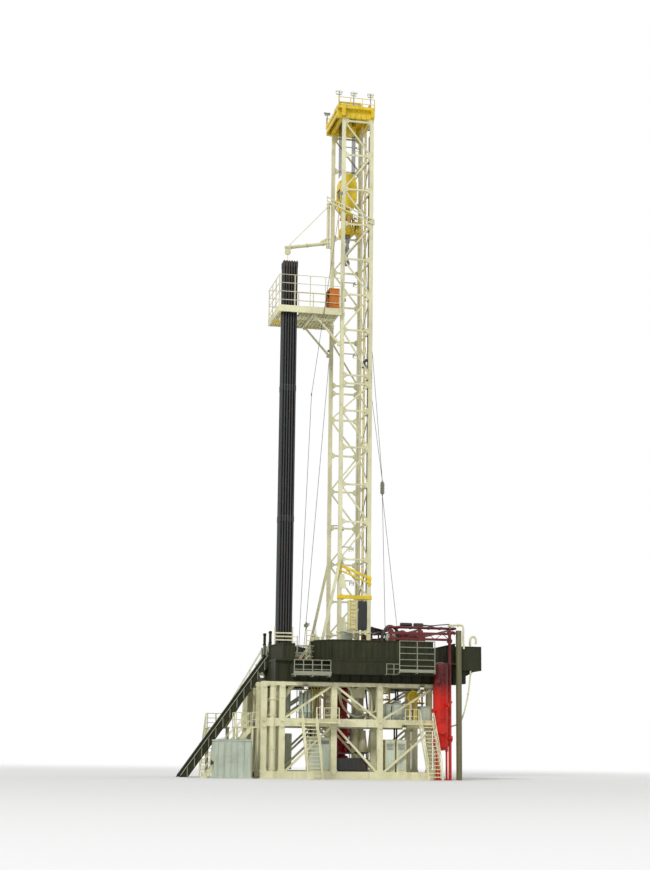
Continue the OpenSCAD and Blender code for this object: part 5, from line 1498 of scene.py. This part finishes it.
# White loops behind the outer truss, and the lines beside them
loop = ((-0.3, 3.2), (-0.06, 2.95), (0, 2.62), (0.12, 2.4), (0.36, 2.3), (0.78, 2.24), (0.86, 2.5),
        (0.86, 3.2))
for y, shift in ((-1.6, 0), (-1.5, 0.08), (1.55, 0.1)):
    add_bend(bm, [(x + shift, y, z) for x, z in loop], 5, 0.034, 10)
add_bend(bm, [(0.02, -1.45, 3.2), (0.1, -1.45, 3), (0.36, -1.45, 3.1), (0.62, -1.45, 2.95),
              (0.72, -1.45, 2.6), (0.74, -1.4, 1.9)], 5, 0.04, 10)
for k in range(4):
    x, y = -0.02 + k * 0.035, -1.25 + k * 0.05
    add_bend(bm, [(x - 0.4, y, 3.2), (x - 0.3, y, 2.5), (x + 0.1, y, 2.12), (x + 0.5, y, 2.15),
                  (x + 0.7, -1.2, 2.4), (x + 0.72, -1.1, 3.2)], 4, 0.014, 8)
# Boxes and chutes that hang from the floor
for low, high in (((0.06, -1.35, 2.72), (0.52, -0.72, 3.18)), ((-0.66, -1.3, 2.86), (-0.3, -0.72, 3.18)),
                  ((0.92, -1.5, 2.98), (1.3, -1.1, 3.18))):
    add_box(bm, low, high, 0.02)
    for k in range(3):
        x = low[0] + (high[0] - low[0]) * (0.2 + 0.3 * k)
        add_box(bm, (x, low[1] - 0.014, low[2] + 0.03), (x + 0.015, low[1] + 0.006, high[2] - 0.03))
# Chutes under the mid level that narrow upwards
for x, wide in ((0.3, 0.2), (0.62, 0.17), (0.94, 0.16)):
    add_turned(bm, (x, -0.62, 0.9), Z, [(wide * 0.96, 0), (wide, 0), (wide, 0.06), (wide * 0.6, 0.62),
                                        (wide * 0.6, 0.74), (wide * 0.52, 0.74), (wide * 0.52, 0.6),
                                        (wide * 0.92, 0.06), (wide * 0.96, 0)], 18)
    for s in (-1, 1):
        add_bar(bm, (x + s * wide * 0.7, -0.62, 0.92), (x + s * wide * 0.9, -0.62, 0.2), 0.03, 0.03)
new_piece("white_under_floor", bm)

# %% Bottles, the beam with holes, tanks and panels
bm = bmesh.new()
# Pressure bottles in rows at the left, each with a domed head, a neck and bands
for i in range(2):
    for k in range(3):
        x, y, z = -1.72 + k * 0.135, -1.2 - i * 0.2, 1.95
        add_turned(bm, (x, y, z), Z, [(0, 0), (0.035, 0), (0.056, 0.04), (0.056, 0.84), (0.04, 0.9),
                                      (0.018, 0.92), (0.018, 0.98), (0, 0.98)], 14)
        for dz in (0.2, 0.62):
            add_turned(bm, (x, y, z + dz), Z, band(0.054, 0.062, 0, 0.03), 14)
for z in (1.93, 2.2, 2.6):
    add_box(bm, (-1.82, -1.5, z), (-1.36, -1.1, z + 0.02))
for x, y in ((-1.82, -1.5), (-1.36, -1.5), (-1.82, -1.1), (-1.36, -1.1)):
    add_post(bm, (x, y), 0.012, MID_Z, 3)
# The beam with round holes
add_plate(bm, [(-0.48, 1.7), (0.84, 1.7), (0.84, 1.9), (-0.48, 1.9)], -1.08, 0.014)
for z in (1.7, 1.9):
    add_box(bm, (-0.48, -1.13, z - 0.008), (0.84, -1.04, z + 0.008))
for x in (-0.45, -0.02, 0.4, 0.81):
    add_box(bm, (x - 0.008, -1.125, 1.7), (x + 0.008, -1.045, 1.9))
for x in (-0.26, 0.22, 0.62):
    add_turned(bm, (x, -1.09, 1.8), Y, band(0.032, 0.05, -0.008, 0.008), 18)
# Tank between the trusses at the right, with ribs and a lid
for x0, x1, y0, y1, z0, z1 in ((1.02, 1.36, -1.6, -1.1, 1.9, 2.5), (2.42, 2.78, -1.6, -1.1, 1.88, 2.45)):
    add_box(bm, (x0, y0, z0), (x1, y1, z1), 0.015)
    add_box(bm, (x0 - 0.02, y0 - 0.02, z1), (x1 + 0.02, y1 + 0.02, z1 + 0.025), 0.004)
    for k in range(3):
        x = x0 + 0.04 + k * (x1 - x0 - 0.1) / 2
        add_box(bm, (x, y0 - 0.02, z0), (x + 0.02, y0, z1))
# Long panels in the left bays of both levels
for x0, x1, z0, z1 in ((-2.3, -1.92, 0.3, 1.5), (-2.3, -1.98, 2, 2.98), (0.2, 0.62, 1.95, 2.2)):
    add_box(bm, (x0, -0.82, z0), (x1, -0.6, z1), 0.015)
    for k in range(3):
        x = x0 + 0.05 + k * (x1 - x0 - 0.12) / 2
        add_box(bm, (x, -0.84, z0 + 0.05), (x + 0.02, -0.82, z1 - 0.05))
new_piece("bottles_and_tanks", bm, "pale_tank_paint")

# %% Valve blocks on their shelves
bm = bmesh.new()
# Shelves of brown and red valve blocks
for row in range(4):
    z = 1.95 + row * 0.24
    for k in range(3):
        x = -0.78 + k * 0.12
        add_box(bm, (x, -1.02, z + 0.02), (x + 0.085, -0.9, z + 0.15), 0.012)
        add_turned(bm, (x + 0.042, -1.03, z + 0.085), Y, band(0.02, 0.034, -0.02, 0), 10)
        add_rod(bm, (x + 0.042, -0.96, z + 0.14), (x + 0.042, -0.96, z + 0.2), 0.014, 8)
add_wheel(bm, (-0.1, -0.98, 2.05), Y, 0.11)
add_wheel(bm, (-0.16, -0.98, 1.42), Y, 0.13)
for x, z in ((-0.32, 1.5), (-0.12, 1.14), (0.02, 1.5), (-0.3, 1.2)):
    add_valve(bm, (x, -0.72, z), X, 0.055)
add_rod(bm, (-0.44, -0.72, 1.5), (0.16, -0.72, 1.5), 0.025, 10)
add_rod(bm, (-0.44, -0.72, 1.16), (0.16, -0.72, 1.16), 0.025, 10)
for x, z in ((-0.1, 2.05), (-0.16, 1.42)):
    add_rod(bm, (x, -0.98, z), (x, -0.72, z), 0.022, 10)
    add_box(bm, (x - 0.08, -0.8, z - 0.08), (x + 0.08, -0.64, z + 0.08), 0.02)
new_piece("red_valves", bm, "red_paint")

# %% Manifolds
bm = bmesh.new()
# Yellow and green manifold at the right, made of runs with tees, valves and wheels
for z in (2.46, 2.7, 2.92):
    add_rod(bm, (1, -0.78, z), (1.52, -0.78, z), 0.028, 10)
    for x in (1.08, 1.26, 1.44):
        add_valve(bm, (x, -0.78, z), X, 0.045)
for x in (1, 1.52, 2.36, 2.7):
    add_rod(bm, (x, -0.78, 1.9), (x, -0.78, 3.18), 0.032, 10)
    for z in (2, 2.58, 3.05):
        add_disc(bm, (x, -0.78, z), Z, 0.055, 0.04, 12)
for z in (2.1, 2.34, 2.6, 2.86):
    add_rod(bm, (2.3, -0.8, z), (2.78, -0.8, z), 0.024, 10)
    for x in (2.44, 2.6):
        add_valve(bm, (x, -0.8, z), X, 0.04)
for k in range(5):
    x = -1.3 + k * 0.11
    add_rod(bm, (x, -1, 1.9), (x, -1, 3.18), 0.018, 8)
    for z in (2.1 + 0.07 * (k % 3), 2.5, 2.85 - 0.06 * (k % 2)):
        add_valve(bm, (x, -1, z), Z, 0.03)
new_piece("manifolds", bm, "yellow_paint")

# %% Dark lines and the machine on the skid
bm = bmesh.new()
# Dark lines along the ground and up to the floor, on clamps
for x, y in ((-0.62, -0.78), (-0.52, -0.86), (1.7, -0.8), (2.2, 0.8), (-1.9, 0.8)):
    add_bend(bm, [(x - 0.3, y, 0.24), (x - 0.1, y, 0.26), (x, y, 0.5), (x, y, 1.8), (x + 0.05, y, 2.6),
                  (x + 0.02, y, 3.15)], 4, 0.03, 10)
    for z in (0.9, 1.8, 2.7):
        add_disc(bm, (x, y, z), Z, 0.045, 0.04, 10)
for y in (-0.35, -0.5, 0.45):
    add_rod(bm, (-2.6, y, 3.1), (2.7, y, 3.1), 0.032, 10)
    for k in range(9):
        add_disc(bm, (-2.4 + k * 0.61, y, 3.1), X, 0.05, 0.03, 10)
# A dark tray over the blower
add_box(bm, (0.72, -1.72, 3.06), (1.24, -1.5, 3.13), 0.01)
# The dark machine on the skid beam at the foot
add_box(bm, (-0.62, -1.74, 0.26), (0.5, -1.24, 0.7), 0.02)
for k in range(12):
    add_box(bm, (-0.58 + k * 0.09, -1.76, 0.3), (-0.55 + k * 0.09, -1.735, 0.66))
for x in (-0.64, 0.49):
    for y in (-1.76, -1.24):
        add_box(bm, (x, y, 0.25), (x + 0.03, y + 0.03, 0.86))
    add_box(bm, (x, -1.76, 0.84), (x + 0.03, -1.21, 0.87))
for y in (-1.76, -1.24):
    add_box(bm, (-0.64, y, 0.84), (0.52, y + 0.03, 0.87))
new_piece("dark_under_floor", bm, "pipe_steel")

# %% Straps, shelves and ties
bm = bmesh.new()
# Straps that carry the lines, ledges for the shelves and racks, and steps between the levels
for y in (-0.35, -0.5, 0.45):
    for x in (-1.5, -0.65, 0.65, 2.2):
        add_post(bm, (x, y), (0.015, 0.05), 3.05, 3.3)
for z in (1.94, 2.18, 2.42, 2.66):
    add_box(bm, (-0.82, -1.05, z), (-0.42, -0.88, z + 0.02))
for x in (-0.82, -0.44):
    add_box(bm, (x, -1.05, MID_Z), (x + 0.02, -0.88, 3))
for x0, x1 in ((1.02, 1.55), (2.3, 2.8)):
    for z in (2.3, 3):
        add_box(bm, (x0, -0.86, z), (x1, -0.84, z + 0.04))
for x in (-0.44, 0.14):
    add_box(bm, (x, -0.86, 0.9), (x + 0.03, -0.6, 2.2))
# Ties between the near and the far box
for x in (-3.1, 0.1, 2.9):
    add_bar(bm, (x, -0.86, 1.9), (x, 0.86, 1.9), 0.07, 0.07)
new_piece("under_floor_frames", bm, "grey_green_paint")

# %% [markdown]
# ## Wires and fittings on deck
# Taut cables run from the mast to the floor, with a counterweight halfway. The mats, the door opening
# and the ramp get their timbers, rollers and guides.

# %% Taut cables
# The counterweight's place in plan
WEIGHT = (1.683, 1)

bm = bmesh.new()
runs = (((0.79, 1, 21.2), (*WEIGHT, 10.7)), ((0.79, 0.97, 17.2), (*WEIGHT, 10.7)),
        ((*WEIGHT, 10.2), (1.82, 1, 5)), ((*WEIGHT, 10.2), (2.3, 1, 5)),
        ((-0.39, -0.96, 21), (-1.49, -1.25, 13.3)), ((-1.49, -1.25, 13.3), (-1.79, -1.1, 4.14)),
        ((-0.36, 0.96, 15.5), (-1.2, 1.05, 4.14)))
for p, q in runs:
    add_rod(bm, p, q, 0.009, 6)
    for place in (p, q):
        add_turned(bm, place, Vector(q) - Vector(p), [(0, -0.06), (0.016, -0.05), (0.02, 0), (0.016, 0.05),
                                                      (0, 0.06)], 8)
new_piece("taut_cables", bm, "wire_rope")

# %% The counterweight, brackets and small winches
bm = bmesh.new()
add_turned(bm, (*WEIGHT, 10.2), Z, [(0, 0), (0.05, 0.02), (0.075, 0.05), (0.075, 0.44), (0.05, 0.48),
                                    (0.02, 0.5), (0, 0.5)], 20)
for z in (10.3, 10.42, 10.54):
    add_turned(bm, (*WEIGHT, z), Z, band(0.07, 0.082, 0, 0.02), 20)
for x, y, z in ((0.79, 1, 21.2), (0.79, 0.97, 17.2), (-0.39, -0.96, 21), (-0.36, 0.96, 15.5)):
    add_box(bm, (x - 0.09, y - 0.05, z - 0.04), (x + 0.02, y + 0.05, z + 0.04), 0.008)
for x, y in ((1.82, 1), (2.3, 1)):
    add_post(bm, (x, y), 0.03, DECK, 5.02, 0.006)
    add_post(bm, (x, y), 0.09, DECK, DECK + 0.02)
for x, y in ((-1.79, -1.1), (-1.2, 1.05)):
    # Small winches that hold the lines
    add_turned(bm, (x, y, DECK + 0.14), Y, [(0, -0.14), (0.1, -0.14), (0.1, -0.12), (0.06, -0.12),
                                            (0.06, 0.12), (0.1, 0.12), (0.1, 0.14), (0, 0.14)], 20)
    for dy in (-0.16, 0.14):
        add_box(bm, (x - 0.08, y + dy, DECK), (x + 0.08, y + dy + 0.02, DECK + 0.2), 0.004)
    add_post(bm, (x, y), (0.14, 0.2), DECK, DECK + 0.025, 0.004)
    add_rod(bm, (x, y + 0.15, DECK + 0.14), (x, y + 0.3, DECK + 0.14), 0.05, 14)
new_piece("cable_fittings", bm, "grey_green_paint")

# %% Timbers of the setback
RAMP_X, RAMP_TOP = -2.73, 4.17
RAMP_SLOPE = RAMP_TOP / 2.97

bm = bmesh.new()
for s in (NEAR, FAR):
    for k in range(8):
        y = s * (0.41 + k * 0.108)
        add_box(bm, (-2.51, y, DECK + 0.115), (-1.31, y + s * 0.098, DECK + 0.135), 0.004)
new_piece("setback_timbers", bm, "timber")

# %% The rotary table and the ramp's rollers
bm = bmesh.new()
# Rotary table: a toothed ring, the split bushing and its drive cover
z = DECK + 0.04
add_turned(bm, (0, 0, z), Z, [(0.19, -0.01), (0.3, -0.01), (0.3, 0.012), (0.21, 0.012), (0.19, 0),
                              (0.19, -0.01)], 40)
add_bolts(bm, (0, 0, z + 0.008), Z, 0.27, 24, 0.018)
for k in range(4):
    way = spoke_at(k / 4)
    add_post(bm, (way * 0.36).xy, 0.03, z, z + 0.012)
# Rollers and wear strips of the ramp
for k in range(9):
    x = -2.95 - k * 0.3
    z = RAMP_TOP + (x - RAMP_X) * RAMP_SLOPE - 0.2
    add_rod(bm, (x, -0.4, z), (x, 0.4, z), 0.03, 12)
    for y in (-0.41, 0.41):
        add_disc(bm, (x, y, z), Y, 0.045, 0.016, 12)
new_piece("table_and_rollers", bm, "bare_steel")

# %% Ramp sides, hatch rails and walkway ends
bm = bmesh.new()
for s in (NEAR, FAR):
    y = 0.5 * s
    for k in range(12):
        x = -2.85 - k * 0.235
        z = RAMP_TOP + (x - RAMP_X) * RAMP_SLOPE
        add_box(bm, (x - 0.012, y, z - 0.36), (x + 0.012, y + s * 0.012, z - 0.04))
    add_bar(bm, (-2.74, y + s * 0.006, RAMP_TOP - 0.02), (-5.66, y + s * 0.006, 0.06), 0.06, 0.02)
    # Bumpers at the head of the ramp
    for x, z in ((-2.79, 4.16), (-2.72, 4.24)):
        add_rod(bm, (x, y - 0.03 * s, z - 0.02), (x, y - 0.03 * s, z + 0.3), 0.03, 10)
# Hatch rails over the near stair
for x0, y0, x1, y1 in ((-2.28, -1.78, -1.46, -1.78), (-1.46, -1.78, -1.46, -1.28),
                       (-2.28, -1.28, -1.46, -1.28)):
    for z in (0.24, 0.48):
        add_rod(bm, (x0, y0, DECK + z), (x1, y1, DECK + z), 0.012, 8)
    for x, y in ((x0, y0), (x1, y1)):
        add_rod(bm, (x, y, DECK), (x, y, DECK + 0.49), 0.016, 8)
# Lower rail beside the tall one
for s in (NEAR, FAR):
    y = 2.62 * s
    add_grating(bm, (0.94, 2.405 * s), (1.36, 2.64 * s), 3.5, 0.06, deep=0.02)
    for x in (0.95, 1.2):
        add_rod(bm, (x, y, 3.5), (x, y, 3.84), 0.014, 8)
        add_box(bm, (x - 0.01, 2.405 * s, 3.46), (x + 0.01, 2.64 * s, 3.49))
    for z in (3.66, 3.83):
        add_rod(bm, (0.95, y, z), (1.38, y, z), 0.011, 8)
    # Toe boards and ends of the walkways
    add_box(bm, (-2.2, 2.395 * s, 3.45), (-0.9, 2.405 * s, 3.54))
    add_grating(bm, (-2.19, 2.0 * s), (-0.92, 2.39 * s), 3.462, 0.06, deep=0.012)
    add_box(bm, (1.38, 2.65 * s, 3.57), (2.65, 2.66 * s, 3.66))
new_piece("deck_fittings", bm, "grey_green_paint")

# %% Stair nosings and the white frame
bm = bmesh.new()
# White U frame and collars at the feet of the pipe stands
for x in (-2.6, -1.98):
    add_box(bm, (x - 0.02, -0.98, DECK + 0.13), (x + 0.02, -0.94, DECK + 1.16), 0.004)
for z in (0.68, 0.8, 0.92):
    add_box(bm, (-2.6, -0.97, DECK + z), (-1.98, -0.95, DECK + z + 0.05), 0.004)
# Rows of steps on the stairs stand out as pale nosings
for x0, y, z0, run, z1, wide in ((-1.4903, -1.53, 3.95, 1.7, 1.7, 0.36), (-3.5003, -1.53, 1.7, 1.65, 0, 0.36),
                                 (-2.7303, 0.675, 3.95, 1.335, 1.7, 0.29)):
    steps = round((z0 - z1) * 8)
    for k in range(1, steps):
        x, z = x0 - run * k / steps, z0 - (z0 - z1) * k / steps
        add_post(bm, (x, y), (0.012, wide / 2), z - 0.012, z + 0.006)
for x0 in (-1.65, 2.4):
    for k in range(1, 15):
        y, z = -2.3906 - 1.2 * k / 15, MID_Z * (1 - k / 15)
        add_post(bm, (x0, y), (0.21, 0.012), z - 0.012, z + 0.006)
new_piece("nosings_and_frames", bm)

# %% Standpipe clamps and joint boxes of the pipe stands
STANDPIPE_X = 0.815

bm = bmesh.new()
# Clamps, valves and bends of the standpipes
for y in (-0.43, -0.56):
    for k in range(9):
        z = DECK + 0.5 + k * 1.2
        add_turned(bm, (STANDPIPE_X, y, z), Z, band(0.044, 0.062, -0.03, 0.03), 16)
        add_box(bm, (0.73, y - 0.02, z - 0.015), (0.78, y + 0.02, z + 0.015))
    add_valve(bm, (STANDPIPE_X, y, DECK + 0.9), Z, 0.07)
    add_bend(bm, [(STANDPIPE_X, y, 14.6), (STANDPIPE_X, y, 14.72), (0.76, y, 14.84), (0.66, y, 14.86),
                  (0.6, y, 14.78), (0.59, y, 14.6)], 5, 0.04, 12)
    add_disc(bm, (0.59, y, 14.6), Z, 0.06, 0.04, 14)
# Joint boxes of the pipe stands
for i in range(6):
    for k in range(5):
        x, y = -2.0203 - i * 0.092, -0.9 + k * 0.092
        for z in (4.09, 8.77, 13.47, 18.05):
            add_turned(bm, (x, y, z), Z, [(0.03, 0), (0.042, 0.02), (0.042, 0.2), (0.03, 0.24)], 8)
new_piece("pipe_fittings", bm, "pipe_steel")

# %% [markdown]
# ## Tools on the drill floor
# Between the mast and the setback stand the pipe handling tools: a post with a folding arm and jaws, a
# white rack with rungs and a control stand.

# %% Racks and the pipe handler
bm = bmesh.new()
# White racks beside the setback
for x0, x1, y, top in ((-1.62, -1.3, -1.62, 1.05), (-1.2, -0.95, -1.3, 0.85), (-1.62, -1.3, 1.62, 1.05)):
    for x in (x0, x1):
        add_post(bm, (x, y), 0.016, DECK, DECK + top, 0.004)
        add_bar(bm, (x, y, DECK + top * 0.8), (x, y + 0.22, DECK + 0.02), 0.022, 0.022)
    for k in range(6):
        z = DECK + 0.12 + k * (top - 0.16) / 5
        add_rod(bm, (x0, y, z), (x1, y, z), 0.011, 8)
# Post, folding arm and head of the pipe handler
add_turned(bm, (-1.08, -0.15, DECK), Z, [(0, 0), (0.16, 0), (0.16, 0.03), (0.09, 0.04), (0.08, 0.9),
                                         (0.1, 0.92), (0.1, 1), (0, 1)], 20)
for y in (-0.2, -0.1):
    add_plate(bm, [(-1.12, 4.86), (-1.02, 4.96), (-0.7, 4.62), (-0.76, 4.54)], y, 0.016)
    add_plate(bm, [(-0.76, 4.54), (-0.7, 4.62), (-0.52, 4.56), (-0.54, 4.48)], y, 0.016)
add_rod(bm, (-1, -0.15, 4.5), (-0.78, -0.15, 4.6), 0.03, 12)
for p in ((-1.07, -0.15, 4.91), (-0.73, -0.15, 4.58)):
    add_rod(bm, (p[0], -0.22, p[2]), (p[0], -0.08, p[2]), 0.03, 14)
new_piece("floor_racks", bm)

# %% Jaws and the mouse hole
bm = bmesh.new()
add_box(bm, (-0.56, -0.27, 4.3), (-0.36, -0.03, 4.62), 0.02)
for z in (4.32, 4.48):
    for y in (-0.27, -0.05):
        add_box(bm, (-0.4, y, z), (-0.24, y + 0.04, z + 0.08), 0.01)
    add_turned(bm, (-0.3, -0.14, z), Z, band(0.06, 0.1, 0, 0.08, True), 18)
# Tongs that hang on their lines, and the mouse hole
add_turned(bm, (-0.62, 0.62, DECK), Z, [(0.05, 0), (0.11, 0), (0.11, 0.04), (0.07, 0.05), (0.07, 0.3),
                                        (0.05, 0.3), (0.05, 0)], 18)
new_piece("floor_jaws", bm, "red_paint")

# %% The driller's stand, benches and lockers
bm = bmesh.new()
# Driller's stand with its screens and levers
add_box(bm, (-0.2, -1.75, DECK), (0.3, -1.45, DECK + 0.5), 0.02)
add_plate(bm, [(-0.18, DECK + 0.5), (0.28, DECK + 0.5), (0.28, DECK + 0.56), (-0.18, DECK + 0.62)], -1.6,
          0.26)
for k in range(5):
    x = -0.12 + k * 0.09
    add_rod(bm, (x, -1.52, DECK + 0.58), (x, -1.49, DECK + 0.7), 0.008, 8)
    add_disc(bm, (x, -1.49, DECK + 0.71), (0, 0.3, 1), 0.016, 0.02, 10)
# Benches and lockers on the far side
for x in (-0.6, 0.1, 0.8):
    add_box(bm, (x, 1.9, DECK), (x + 0.6, 2.26, DECK + 0.46), 0.015)
    for k in range(2):
        add_box(bm, (x + 0.03 + k * 0.28, 1.885, DECK + 0.05), (x + 0.29 + k * 0.28, 1.9, DECK + 0.41), 0.003)
        add_box(bm, (x + 0.24 + k * 0.28, 1.87, DECK + 0.22), (x + 0.26 + k * 0.28, 1.886, DECK + 0.3))
new_piece("floor_stands", bm, "grey_green_paint")

# %% Last lines
low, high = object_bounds()
print("visual box", [round(x, 3) for x in (*low, *high)])
